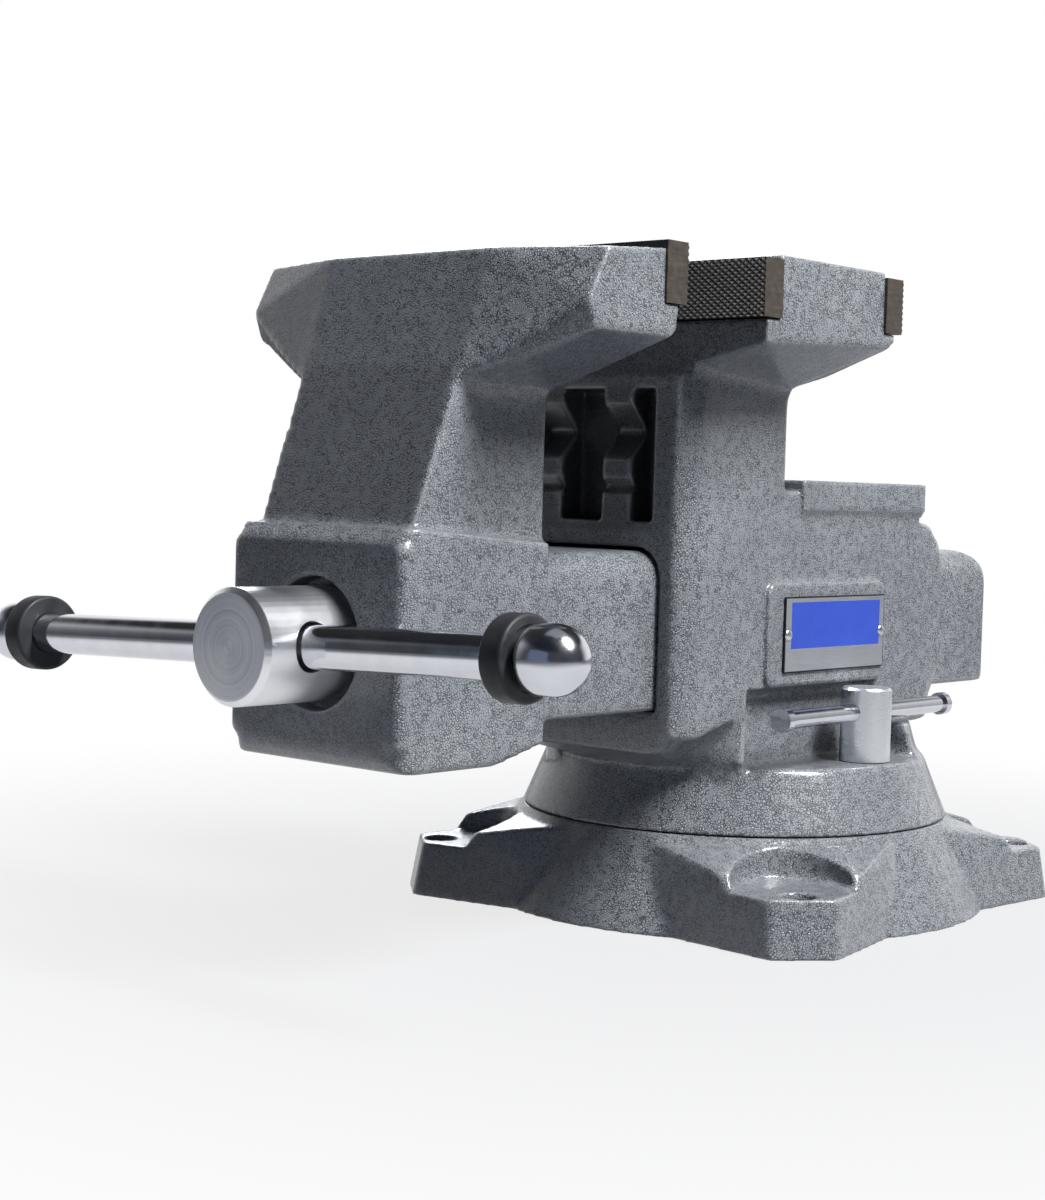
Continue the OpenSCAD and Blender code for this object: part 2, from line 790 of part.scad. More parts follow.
module spindle() {
    color("#c4c6c8")
    spindle_turned()
        difference() {
            translate([0, head_front, spindle_z])
                rotate([-90, 0, 0])
                    rotate_extrude()
                        polygon([[0, 0], [head_r - head_chamfer, 0], [head_r, head_chamfer],
                            [head_r, head_l], [thread_r, head_l],
                            [thread_r, head_l + thread_l - thread_end],
                            [thread_r - thread_end, head_l + thread_l], [0, head_l + thread_l]]);
            rod_x(handle_r + run_fit, -head_r - cut, head_r + cut, handle_y, spindle_z);
            rod_z(pin_r + run_fit, spindle_z - collar_r, spindle_z + collar_r, 0, collar_y + collar_l / 2);
        }
}

module thrust_washer() {
    color("#b89b5a")
    difference() {
        rod_y(washer_r, recess_floor - seat_gap - washer_t, recess_floor - seat_gap, 0, spindle_z);
        rod_y(thread_r + run_fit, block_front - cut, wall_rear, 0, spindle_z);
    }
}

module spindle_collar() {
    color("#9a9da0")
    spindle_turned()
        difference() {
            rod_y(collar_r, collar_y, collar_y + collar_l, 0, spindle_z);
            rod_y(thread_r + run_fit, collar_y - cut, collar_y + collar_l + cut, 0, spindle_z);
            rod_z(pin_r + run_fit, 0, 2 * spindle_z, 0, collar_y + collar_l / 2);
        }
}

module collar_pin() {
    color("#8a8c90")
    spindle_turned()
        rod_z(pin_r, spindle_z - pin_half_l, spindle_z + pin_half_l, 0, collar_y + collar_l / 2);
}

module main_nut() {
    color("#6d6a62")
    difference() {
        union() {
            rod_y(nut_r, nut_y - nut_l / 2, nut_y + nut_l / 2, 0, spindle_z);
            block(-nut_half_w, nut_half_w, nut_y - nut_l / 2, nut_y + nut_l / 2, beam_low,
                spindle_z - thread_r / 2);
        }
        rod_y(thread_r + run_fit, nut_y - nut_l, nut_y + nut_l, 0, spindle_z);
        rod_z(nut_bolt_r + run_fit, beam_low - cut, beam_low + nut_bolt_bite + cut, 0, nut_y);
    }
}

module nut_bolt() {
    top = skirt_low + nut_bolt_sink;
    color("#77797d") {
        rod_z(nut_bolt_r, top - nut_bolt_head_h, beam_low + nut_bolt_bite, 0, nut_y);
        translate([0, nut_y, top - nut_bolt_head_h - seat_gap])
            cylinder(r = nut_bolt_head_r, h = nut_bolt_head_h, $fn = 6);
    }
}

module at_handle() {
    spindle_turned()
        translate([-handle_shift, handle_y, spindle_z])
            rotate([0, 90, 0])
                children();
}

module handle_bar() {
    color("#d4d6d8")
    at_handle()
        cylinder(r = handle_r, h = 2 * handle_half_l, center = true);
}

module handle_ball(side) {
    color("#dcdee0")
    at_handle()
        difference() {
            translate([0, 0, side * handle_half_l])
                sphere(r = ball_r);
            cylinder(r = handle_r + run_fit, h = 2 * handle_half_l + run_fit, center = true);
        }
}

module left_handle_ball() { handle_ball(-1); }
module right_handle_ball() { handle_ball(1); }

module rubber_ring(side) {
    inner = handle_half_l - ball_r - ring_t - seat_gap;
    edge = ring_t / 4;
    color("#2b2b2d")
    at_handle()
        rotate([0, side > 0 ? 0 : 180, 0])
            translate([0, 0, inner])
                rotate_extrude()
                    polygon([[handle_r + run_fit, 0], [ring_r - edge, 0], [ring_r, edge],
                        [ring_r, ring_t - edge], [ring_r - edge, ring_t], [handle_r + run_fit, ring_t]]);
}

module left_rubber_ring() { rubber_ring(-1); }
module right_rubber_ring() { rubber_ring(1); }

module lock_screw(side) {
    x = side * lock_r;
    top = ledge_z + seat_gap + lock_head_h;
    color("#b9bcc0")
    difference() {
        union() {
            rod_z(lock_head_r, ledge_z + seat_gap, top - lock_edge, x, 0);
            translate([x, 0, top - lock_edge])
                cylinder(r1 = lock_head_r, r2 = lock_head_r - lock_edge, h = lock_edge);
            rod_z(lock_shank_r, lock_tip, ledge_z + 2 * seat_gap, x, 0);
        }
        rod_y(lock_bar_r + run_fit, -2 * lock_head_r, 2 * lock_head_r, x, lock_z);
    }
}

module right_lock_screw() { lock_screw(1); }
module left_lock_screw() { lock_screw(-1); }

module lock_bar(side) {
    x = side * lock_r;
    color("#cfd1d4")
    union() {
        rod_y(lock_bar_r, -lock_bar_half_l, lock_bar_half_l, x, lock_z);
        rod_y(lock_button_r, -lock_bar_half_l, lock_button_t - lock_bar_half_l, x, lock_z);
        rod_y(lock_button_r, lock_bar_half_l - lock_button_t, lock_bar_half_l, x, lock_z);
    }
}

module right_lock_bar() { lock_bar(1); }
module left_lock_bar() { lock_bar(-1); }

// A nut that fills the ring slot's width and can't turn in it
module lock_nut(side) {
    z0 = slot_floor + slot_h - lock_nut_h - seat_gap;
    color("#7c7f84")
    difference() {
        block(side * lock_r - lock_nut_w / 2, side * lock_r + lock_nut_w / 2,
            -lock_nut_l / 2, lock_nut_l / 2, z0, z0 + lock_nut_h);
        rod_z(lock_shank_r + run_fit, z0 - cut, z0 + lock_nut_h + cut, side * lock_r, 0);
    }
}

module right_lock_nut() { lock_nut(1); }
module left_lock_nut() { lock_nut(-1); }

module pivot_bolt() {
    z0 = hub_low - pivot_washer_t - 2 * seat_gap;
    color("#77797d")
    union() {
        translate([0, 0, z0 - pivot_head_h])
            cylinder(r = pivot_head_r, h = pivot_head_h, $fn = 6);
        rod_z(pivot_r, z0 - cut, base_h + pivot_bite, 0, 0);
    }
}

module pivot_washer() {
    color("#9a9da0")
    difference() {
        rod_z(pivot_washer_r, hub_low - seat_gap - pivot_washer_t, hub_low - seat_gap, 0, 0);
        rod_z(pivot_r + run_fit, 0, base_h, 0, 0);
    }
}

module nameplate() {
    x = body_w + pad_t;
    color("#c9ccd0")
    difference() {
        translate([x, 0, 0])
            rotate([90, 0, 90])
                linear_extrude(plate_t)
                    polygon(rounded([[plate_y - plate_l / 2, plate_z - plate_h / 2],
                        [plate_y + plate_l / 2, plate_z - plate_h / 2],
                        [plate_y + plate_l / 2, plate_z + plate_h / 2],
                        [plate_y - plate_l / 2, plate_z + plate_h / 2]], [for (i = [0:3]) plate_corner_r]));
        at_rivets() rod_x(rivet_d / 2 + run_fit, x - cut, x + plate_t + cut, 0, plate_z);
    }
}

module nameplate_rivets() {
    x = body_w + pad_t;
    color("#d8dadc")
    at_rivets() {
        rod_x(rivet_d / 2, x - rivet_l, x + plate_t, 0, plate_z);
        rod_x(rivet_head_r, x + plate_t, x + plate_t + rivet_head_h, 0, plate_z);
    }
}

swivel_base();
vise_body();
movable_jaw();
movable_jaw_insert();
front_jaw_insert();
rear_jaw_insert();
movable_insert_screws();
front_insert_screws();
rear_insert_screws();
spindle();
thrust_washer();
spindle_collar();
collar_pin();
main_nut();
nut_bolt();
handle_bar();
left_handle_ball();
right_handle_ball();
left_rubber_ring();
right_rubber_ring();
right_lock_screw();
left_lock_screw();
right_lock_bar();
left_lock_bar();
right_lock_nut();
left_lock_nut();
pivot_bolt();
pivot_washer();
nameplate();
nameplate_rivets();
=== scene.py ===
import math

import bmesh
import bpy
import numpy
from mathutils import Matrix, Vector


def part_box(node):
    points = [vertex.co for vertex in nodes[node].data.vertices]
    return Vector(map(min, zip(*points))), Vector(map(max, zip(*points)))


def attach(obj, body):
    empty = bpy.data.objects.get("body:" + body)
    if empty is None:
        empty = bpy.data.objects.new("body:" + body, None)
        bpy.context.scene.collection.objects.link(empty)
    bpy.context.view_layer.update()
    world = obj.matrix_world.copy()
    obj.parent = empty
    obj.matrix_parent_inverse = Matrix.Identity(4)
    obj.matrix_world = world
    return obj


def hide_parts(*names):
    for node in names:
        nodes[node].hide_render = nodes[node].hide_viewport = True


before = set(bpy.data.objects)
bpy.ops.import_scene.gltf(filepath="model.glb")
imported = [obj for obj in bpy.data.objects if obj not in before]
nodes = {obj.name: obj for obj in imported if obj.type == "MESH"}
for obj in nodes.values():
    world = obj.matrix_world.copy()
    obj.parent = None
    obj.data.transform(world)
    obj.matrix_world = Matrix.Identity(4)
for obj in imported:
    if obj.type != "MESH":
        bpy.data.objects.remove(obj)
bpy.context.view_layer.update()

# Camera
# The photograph was taken from the front right, a little above the spindle, from about
# 0.9 m. The image is 1045 by 1200 pixels; the focal length and centre are in its pixels.
IMAGE_W = 1045
IMAGE_H = 1200
focal_px = 2121.0
centre_px = (586.1, 583.8)
camera_place = Vector((0.5246, -0.7138, 0.1654))
camera_yaw = math.radians(40.47)
camera_pitch = math.radians(2.49)
camera_roll = math.radians(1.68)


def new_object(name, data):
    made = bpy.data.objects.new(name, data)
    bpy.context.scene.collection.objects.link(made)
    return made


camera_data = bpy.data.cameras.new("camera")
camera = new_object("camera", camera_data)
bpy.context.scene.camera = camera
camera_data.sensor_fit = "VERTICAL"
camera_data.sensor_height = 24
camera_data.lens = focal_px / IMAGE_H * camera_data.sensor_height
camera_data.shift_x = (IMAGE_W / 2 - centre_px[0]) / IMAGE_H
camera_data.shift_y = (centre_px[1] - IMAGE_H / 2) / IMAGE_H
camera_data.clip_start = 0.01
camera_turn = (
    Matrix.Rotation(camera_yaw, 3, "Z")
    @ Matrix.Rotation(math.pi / 2 - camera_pitch, 3, "X")
    @ Matrix.Rotation(camera_roll, 3, "Z")
)
camera.matrix_world = Matrix.Translation(camera_place) @ camera_turn.to_4x4()

# Studio
# A pale plain floor that runs into a white backdrop behind the vise, with a dim ceiling and
# room that give the bright metal its dark streaks. The main lamp is high on the right, and
# three weak ones fill from the front, from the rear left and from above.
bpy.context.scene.view_settings.view_transform = "Standard"


def deselect():
    bpy.ops.object.select_all(action="DESELECT")


def node_of(tree, kind, x, y, **values):
    made = tree.nodes.new(kind)
    made.location = (x, y)
    for key, value in values.items():
        setattr(made, key, value)
    return made


def math_of(tree, operation, x, y, *values):
    """Arithmetic on one or two values; each is a plain number or another node's socket."""
    made = node_of(tree, "ShaderNodeMath", x, y, operation=operation)
    for place, value in enumerate(values):
        if isinstance(value, (int, float)):
            made.inputs[place].default_value = value
        else:
            tree.links.new(value, made.inputs[place])
    return made.outputs[0]


def mapped(tree, source, low, high, to_low, to_high, x, y):
    """A value brought from one range into another, with soft ends."""
    made = node_of(tree, "ShaderNodeMapRange", x, y, interpolation_type="SMOOTHSTEP")
    made.inputs["From Min"].default_value = low
    made.inputs["From Max"].default_value = high
    made.inputs["To Min"].default_value = to_low
    made.inputs["To Max"].default_value = to_high
    tree.links.new(source, made.inputs["Value"])
    return made.outputs["Result"]


def new_material(name):
    material = bpy.data.materials.new(name)
    material.use_nodes = True
    return material, material.node_tree, material.node_tree.nodes["Principled BSDF"]


def background_share(tree, mirrored):
    """How much of the white background a ray gets: all of it from the camera, and in metal and
    glass as much as the studio has there."""
    light_path = node_of(tree, "ShaderNodeLightPath", -900, 500).outputs
    glossy, through = light_path["Is Glossy Ray"], light_path["Is Transmission Ray"]
    shiny = math_of(tree, "MAXIMUM", -700, 500, glossy, through)
    dimmed = math_of(tree, "MULTIPLY", -500, 500, shiny, mirrored)
    return math_of(tree, "MAXIMUM", -300, 500, light_path["Is Camera Ray"], dimmed)


def shares_mixed(tree, share, plain, white_shader, output):
    """The plain shader where the share is 0 and the white one where it is 1."""
    blend = node_of(tree, "ShaderNodeMixShader", 300, 0)
    for place, socket in enumerate((share, plain.outputs[0], white_shader.outputs[0])):
        tree.links.new(socket, blend.inputs[place])
    tree.links.new(blend.outputs[0], tree.nodes[output].inputs["Surface"])


world = bpy.data.worlds.new("studio")
world.use_nodes = True
bpy.context.scene.world = world
world_tree = world.node_tree
surround = world_tree.nodes["Background"]
surround.inputs["Color"].default_value = (0.55, 0.66, 1.0, 1)
surround.inputs["Strength"].default_value = 0.028
studio_way = node_of(world_tree, "ShaderNodeTexCoord", -900, 0)
studio_axes = node_of(world_tree, "ShaderNodeSeparateXYZ", -700, 0)
world_tree.links.new(studio_way.outputs["Generated"], studio_axes.inputs[0])
white = node_of(world_tree, "ShaderNodeBackground", -300, 0)
white.inputs["Strength"].default_value = 1.0
below_ceiling = mapped(world_tree, studio_axes.outputs["Z"], 0.42, 0.58, 1.0, 0.03, -500, 0)
world_tree.links.new(below_ceiling, white.inputs["Color"])
# The white backdrop stands behind the vise; the room on the photographer's side is dim.
backdrop = node_of(world_tree, "ShaderNodeVectorMath", -700, 250, operation="DOT_PRODUCT")
world_tree.links.new(studio_way.outputs["Generated"], backdrop.inputs[0])
backdrop.inputs[1].default_value = (-0.65, 0.76, 0)
behind = mapped(world_tree, backdrop.outputs["Value"], 0.0, 0.62, 0.04, 1.0, -500, 250)
shares_mixed(world_tree, background_share(world_tree, behind), surround, white, "World Output")

deselect()
bpy.ops.mesh.primitive_plane_add(size=24, location=(0, 0, 0))
floor = bpy.context.object
floor.name = "studio_floor"
floor_paint, floor_tree, floor_shader = new_material("studio_floor")
floor_shader.inputs["Base Color"].default_value = (0.17, 0.18, 0.21, 1)
floor_shader.inputs["Roughness"].default_value = 0.9
floor_place = node_of(floor_tree, "ShaderNodeTexCoord", -900, 0)
floor_reach = node_of(floor_tree, "ShaderNodeVectorMath", -700, 0, operation="LENGTH")
floor_tree.links.new(floor_place.outputs["Object"], floor_reach.inputs[0])
# Near the vise the floor keeps its shadow. Far out it is the white of the backdrop, and in
# metal it goes dark there, as the unlit room does.
floor_fade = mapped(floor_tree, floor_reach.outputs["Value"], 0.12, 0.6, 0.79, 1.0, -500, 0)
floor_mirrored = mapped(floor_tree, floor_reach.outputs["Value"], 0.45, 0.95, 0.9, 0.08, -500, -250)
floor_background = background_share(floor_tree, floor_mirrored)
floor_share = math_of(floor_tree, "MULTIPLY", -100, 200, floor_fade, floor_background)
floor_white = node_of(floor_tree, "ShaderNodeEmission", -300, -300)
floor_white.inputs["Strength"].default_value = 1.0
shares_mixed(floor_tree, floor_share, floor_shader, floor_white, "Material Output")
floor.data.materials.append(floor_paint)


def soft_lamp(name, place, aim, width, height, watts, tint):
    lamp_data = bpy.data.lights.new(name, "AREA")
    lamp_data.shape = "RECTANGLE"
    lamp_data.size = width
    lamp_data.size_y = height
    lamp_data.energy = watts
    lamp_data.color = tint
    lamp = new_object(name, lamp_data)
    way = Vector(aim) - Vector(place)
    turn = way.to_track_quat("-Z", "Y").to_matrix().to_4x4()
    lamp.matrix_world = Matrix.Translation(place) @ turn


soft_lamp("right_lamp", (1.13, 0.03, 1.55), (0, 0, 0.12), 0.36, 0.8, 72, (1.0, 0.995, 0.985))
soft_lamp("front_fill", (-0.25, -1.5, 0.42), (0, -0.1, 0.12), 1.5, 0.7, 0.65, (0.45, 0.62, 1.0))
soft_lamp("left_lamp", (-1.2, 1.1, 0.8), (0, 0, 0.1), 0.6, 0.8, 11, (0.86, 0.91, 1.0))
soft_lamp("top_lamp", (-0.1, 0.0, 1.8), (0, 0, 0.1), 1.1, 1.1, 1.1, (0.85, 0.92, 1.0))

# Swivel base
# A round grey iron casting with four lugs for the bench bolts. It is cast in sand, so its
# edges are rounded, machined only on top and below, and sprayed with hammertone enamel.
enamel, enamel_tree, enamel_shader = new_material("hammertone_enamel")
enamel_shader.inputs["Metallic"].default_value = 0.0
enamel_shader.inputs["Roughness"].default_value = 0.38
enamel_shader.inputs["Specular IOR Level"].default_value = 0.5
enamel_shader.inputs["Coat Weight"].default_value = 0.65
enamel_shader.inputs["Coat Roughness"].default_value = 0.17


def mottle(tree, source, scale, detail, x, y):
    made = node_of(tree, "ShaderNodeTexNoise", x, y)
    made.inputs["Scale"].default_value = scale
    made.inputs["Detail"].default_value = detail
    tree.links.new(source, made.inputs["Vector"])
    return made


def colours_by(tree, share, first, second, x, y):
    """A colour between two by a share; each is a plain colour or another node's socket."""
    made = node_of(tree, "ShaderNodeMix", x, y, data_type="RGBA")
    tree.links.new(share, made.inputs[0])
    for place, colour in ((6, first), (7, second)):
        if isinstance(colour, tuple):
            made.inputs[place].default_value = (*colour, 1)
        else:
            tree.links.new(colour, made.inputs[place])
    return made.outputs[2]


def bump_from(tree, height, strength, distance, x, y, under=None):
    made = node_of(tree, "ShaderNodeBump", x, y)
    made.inputs["Strength"].default_value = strength
    made.inputs["Distance"].default_value = distance
    tree.links.new(height, made.inputs["Height"])
    if under is not None:
        tree.links.new(under, made.inputs["Normal"])
    return made.outputs["Normal"]


# The enamel draws up into small grey islands with thin dark veins between them.
enamel_place = node_of(enamel_tree, "ShaderNodeTexCoord", -1600, 0).outputs["Object"]
enamel_stray = node_of(enamel_tree, "ShaderNodeVectorMath", -1200, -100, operation="SCALE")
enamel_stray.inputs["Scale"].default_value = 0.0011
enamel_wander = mottle(enamel_tree, enamel_place, 620, 1, -1400, -200).outputs["Color"]
enamel_tree.links.new(enamel_wander, enamel_stray.inputs[0])
enamel_moved = node_of(enamel_tree, "ShaderNodeVectorMath", -1000, 0, operation="ADD")
enamel_tree.links.new(enamel_place, enamel_moved.inputs[0])
enamel_tree.links.new(enamel_stray.outputs["Vector"], enamel_moved.inputs[1])
enamel_cells = node_of(enamel_tree, "ShaderNodeTexVoronoi", -800, 100, feature="DISTANCE_TO_EDGE")
enamel_cells.inputs["Scale"].default_value = 1000
enamel_tree.links.new(enamel_moved.outputs["Vector"], enamel_cells.inputs["Vector"])
enamel_patches = mottle(enamel_tree, enamel_place, 300, 2, -800, -250).outputs["Fac"]
enamel_width = mapped(enamel_tree, enamel_patches, 0.34, 0.62, 0.1, 0.26, -600, -250)
enamel_veins = node_of(
    enamel_tree, "ShaderNodeMapRange", -400, 100, interpolation_type="SMOOTHSTEP",
)
enamel_veins.inputs["From Min"].default_value = 0
enamel_tree.links.new(enamel_width, enamel_veins.inputs["From Max"])
enamel_tree.links.new(enamel_cells.outputs["Distance"], enamel_veins.inputs["Value"])
enamel_clouds = mottle(enamel_tree, enamel_place, 26, 3, -600, 500).outputs["Fac"]
enamel_drift = mapped(enamel_tree, enamel_clouds, 0.3, 0.7, 0, 1, -400, 500)
island_dark, island_light = (0.228, 0.246, 0.272), (0.268, 0.287, 0.314)
vein_dark = (0.056, 0.06, 0.072)
enamel_islands = colours_by(enamel_tree, enamel_drift, island_dark, island_light, -200, 500)
enamel_relief = enamel_veins.outputs["Result"]
enamel_paint = colours_by(enamel_tree, enamel_relief, vein_dark, enamel_islands, 0, 300)
# The recess of the pipe jaws is painted nearly black, as painted shade between the jaws.
# Its mask is the box of the recess: both sides, front and back, floor and top.
enamel_axes = node_of(enamel_tree, "ShaderNodeSeparateXYZ", -1200, 900)
enamel_tree.links.new(enamel_place, enamel_axes.inputs[0])
enamel_aside = math_of(enamel_tree, "ABSOLUTE", -1000, 1000, enamel_axes.outputs["X"])
recess_shade_mask = mapped(enamel_tree, enamel_aside, 0.0335, 0.0375, 1, 0, -800, 1000)
for recess_shade_limit in (
    mapped(enamel_tree, enamel_axes.outputs["Y"], -0.1065, -0.0995, 0.35, 1, -800, 1200),
    mapped(enamel_tree, enamel_axes.outputs["Y"], -0.082, -0.08, 1, 0, -800, 1400),
    mapped(enamel_tree, enamel_axes.outputs["Z"], 0.149, 0.153, 0, 1, -800, 1600),
    mapped(enamel_tree, enamel_axes.outputs["Z"], 0.203, 0.21, 1, 0, -800, 1800),
):
    recess_shade_mask = math_of(enamel_tree, "MULTIPLY", -600, 1200, recess_shade_mask, recess_shade_limit)
# Painted shade: inside the recess the enamel is darkened almost to black.
recess_painted_shade = mapped(enamel_tree, recess_shade_mask, 0, 1, 0, 0.88, -400, 1200)
enamel_paint = colours_by(enamel_tree, recess_painted_shade, enamel_paint, (0.012, 0.0125, 0.014), 50, 600)
# Convex edges are painted lighter: a painted highlight along the rims of the casting.
enamel_edge = node_of(enamel_tree, "ShaderNodeAttribute", -200, 800, attribute_name="edge")
enamel_edge_highlight = mapped(enamel_tree, enamel_edge.outputs["Fac"], 0.55, 1.0, 0, 0.4, 0, 800)
enamel_colour = colours_by(enamel_tree, enamel_edge_highlight, enamel_paint, (0.4, 0.42, 0.44), 200, 300)
enamel_tree.links.new(enamel_colour, enamel_shader.inputs["Base Color"])
enamel_swell = mottle(enamel_tree, enamel_place, 90, 2, -600, -600).outputs["Fac"]
enamel_waves = bump_from(enamel_tree, enamel_swell, 0.35, 0.0012, -200, -500)
enamel_skin = bump_from(enamel_tree, enamel_relief, 0.65, 0.0003, 0, -300, enamel_waves)
enamel_tree.links.new(enamel_skin, enamel_shader.inputs["Normal"])


def pick(ob):
    deselect()
    ob.select_set(True)
    bpy.context.view_layer.objects.active = ob


def apply_modifier(ob, kind, **values):
    pick(ob)
    modifier = ob.modifiers.new(kind.lower(), kind)
    for key, value in values.items():
        setattr(modifier, key, value)
    bpy.ops.object.modifier_apply(modifier=modifier.name)


def edit_all(ob):
    """Opens a piece in edit mode with all of it selected."""
    pick(ob)
    bpy.ops.object.mode_set(mode="EDIT")
    bpy.ops.mesh.select_all(action="SELECT")


def copy_of_node(name, node_name):
    """The machined form of a node as a piece of its own, its loose triangles joined up."""
    ob = new_object(name, nodes[node_name].data.copy())
    ob.data.materials.clear()
    edit_all(ob)
    bpy.ops.mesh.remove_doubles(threshold=0.000002)
    bpy.ops.object.mode_set(mode="OBJECT")
    return ob


def hull_lump(points):
    """The solid round some points in mm: a lump to be run into a casting, or a cutter."""
    mesh = bpy.data.meshes.new("lump")
    mesh.from_pydata([Vector(point) / 1000 for point in points], [], [])
    lump = new_object("lump", mesh)
    edit_all(lump)
    bpy.ops.mesh.convex_hull()
    bpy.ops.mesh.normals_make_consistent(inside=False)
    bpy.ops.object.mode_set(mode="OBJECT")
    return lump


def mark_wear_and_edge_highlight(mesh, values):
    """Where this is high: the enamel is painted lighter on its convex edges, a painted highlight,
    and the black of the inserts is worn off.
    """
    mesh.attributes.new("edge", "FLOAT", "POINT").data.foreach_set("value", values)


def cast(ob, lumps, grain, edge_rounds, fillet_rounds, regions):
    """Runs a machined form and its lumps together as sand casting does: soft outer edges, and
    fillets in the hollows. The grain is the size of the new mesh's cells. A region is a box in
    mm with its own rounds of both."""
    for lump in lumps:
        apply_modifier(ob, "BOOLEAN", operation="UNION", solver="EXACT", object=lump)
        bpy.data.objects.remove(lump, do_unlink=True)
    octree = 8
    cells = max(ob.dimensions) / grain
    apply_modifier(
        ob, "REMESH", mode="SHARP", octree_depth=octree, scale=cells / 2 ** octree,
        sharpness=1.0, use_remove_disconnected=False,
    )
    mesh = ob.data
    count = len(mesh.vertices)
    place = numpy.empty(count * 3, dtype=numpy.float32)
    mesh.vertices.foreach_get("co", place)
    place = place.reshape(-1, 3).astype(float)
    ends = numpy.empty(len(mesh.edges) * 2, dtype=numpy.int32)
    mesh.edges.foreach_get("vertices", ends)
    one, other = ends.reshape(-1, 2).T
    near = numpy.bincount(one, minlength=count) + numpy.bincount(other, minlength=count)
    softening = numpy.full(count, edge_rounds)
    rounds = numpy.full(count, fillet_rounds)
    for low, high, wanted_edge, wanted_fillet in regions:
        above, under = place > numpy.array(low) / 1000, place < numpy.array(high) / 1000
        inside = above.all(axis=1) & under.all(axis=1)
        softening[inside] = wanted_edge
        rounds[inside] = wanted_fillet
    normal = numpy.empty(count * 3, dtype=numpy.float32)

    def average(value):
        """What the neighbours of each point have on average."""
        total = numpy.bincount(one, value[other], count) + numpy.bincount(other, value[one], count)
        return total / near

    def to_middle():
        return numpy.stack([average(place[:, i]) for i in range(3)], axis=1) - place

    def pull():
        """How far each point lies under the middle of its neighbours: a hollow is above zero."""
        return (to_middle() * normal.reshape(-1, 3)).sum(axis=1)

    def settle():
        mesh.vertices.foreach_set("co", place.ravel())
        mesh.update()
        mesh.vertex_normals.foreach_get("vector", normal)

    for turn in range(softening.max()):
        place = place + to_middle() * ((softening > turn) * 0.5)[:, None]
    new_normals_every = 6
    for turn in range(rounds.max()):
        if turn % new_normals_every == 0:
            settle()
        filled = numpy.clip(pull(), 0, None) * (rounds > turn) * 0.7
        place = place + normal.reshape(-1, 3) * filled[:, None]
    settle()
    # The convex edges are marked for the painted edge highlight of the enamel.
    sharp_pull = 0.00016
    edge = numpy.clip(-pull() / sharp_pull, 0, 1)
    mark_wear_and_edge_highlight(mesh, ((edge + average(edge)) / 2).astype(numpy.float32))
    pick(ob)
    bpy.ops.object.shade_smooth()
    ob.data.materials.append(enamel)


base_casting = copy_of_node("base_casting", "swivel_base")
cast(base_casting, [], 0.0014, 3, 12, [])
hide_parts("swivel_base")
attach(base_casting, "base")

# Body casting
# One iron casting that carries the fixed jaw, the anvil and the slide passage on a round
# turntable. The seats of the jaw inserts, the passage and the lock pockets are machined.
body_casting = copy_of_node("body_casting", "vise_body")


def cut_away(ob, cutter):
    """Cuts a solid out of a piece and throws the cutter away."""
    apply_modifier(ob, "BOOLEAN", operation="DIFFERENCE", solver="EXACT", object=cutter)
    bpy.data.objects.remove(cutter, do_unlink=True)


# The chin of the real casting reaches lower in front. A scoop runs along each side under the
# front corner, and behind the scoop the side runs down to the skirt without a step.
body_lumps = [hull_lump([
    (side * x, y, z) for side in (-1, 1) for x, y, z in (
        (34, -103.8, 69), (40, -103.2, 70), (41, -104, 84), (46, -99, 73.5), (46, -90, 84),
        (34, -86, 64.5), (22, -80, 62), (0, -79, 61.8), (20, -60, 62), (30, -62, 70),
    )
])]
for side in (-1, 1):
    cut_away(body_casting, hull_lump([
        (side * x, y, z) for x, y, z in (
            (53, -101, 72.5), (53, -84, 77), (53, -64.5, 83.5),
            (38.5, -101, 68.5), (37, -88, 66), (37, -73.5, 62.2),
            (53, -101, 60.7), (53, -64.5, 60.7), (38.5, -101, 60.7), (37, -73.5, 60.7),
        )
    ]))
    body_lumps.append(hull_lump([
        (side * x, y, z) for x, y, z in (
            (32, -72.8, 57), (36, -72.5, 63), (42, -71.5, 68), (46.5, -70, 74), (50.9, -66.7, 82),
            (50.9, -62.2, 88), (49.7, -62.2, 57), (44.5, -66.4, 57), (32, -60, 60.5), (36, -60, 72),
            (44.5, -58, 86),
        )
    ]))
# The rear shoulder is fuller than the machined form, outside and above the passage.
shoulder = ((79.4, 96), (79.4, 134), (78.4, 142), (75, 148.5), (69, 153.4), (61, 156), (50, 156))
shoulder_rounding = ((39.4, 0), (47.5, 0), (49.9, 1.6), (50.9, 4.5))
shoulder_root = (
    (39.4, 55, 80), (39.4, 55, 150), (50.9, 55, 80), (50.9, 55, 150),
    (39.4, 73.5, 74), (45, 73.5, 74),
)
for side in (-1, 1):
    body_lumps.append(hull_lump(
        [(side * x, y - back, z) for y, z in shoulder for x, back in shoulder_rounding]
        + [(side * x, y, z) for x, y, z in shoulder_root]
    ))
over_passage = 146.4
body_lumps.append(hull_lump([
    (side * 40, y, max(z, over_passage))
    for side in (-1, 1) for y, z in ((76.5, over_passage), *shoulder[3:], (50, over_passage))
]))
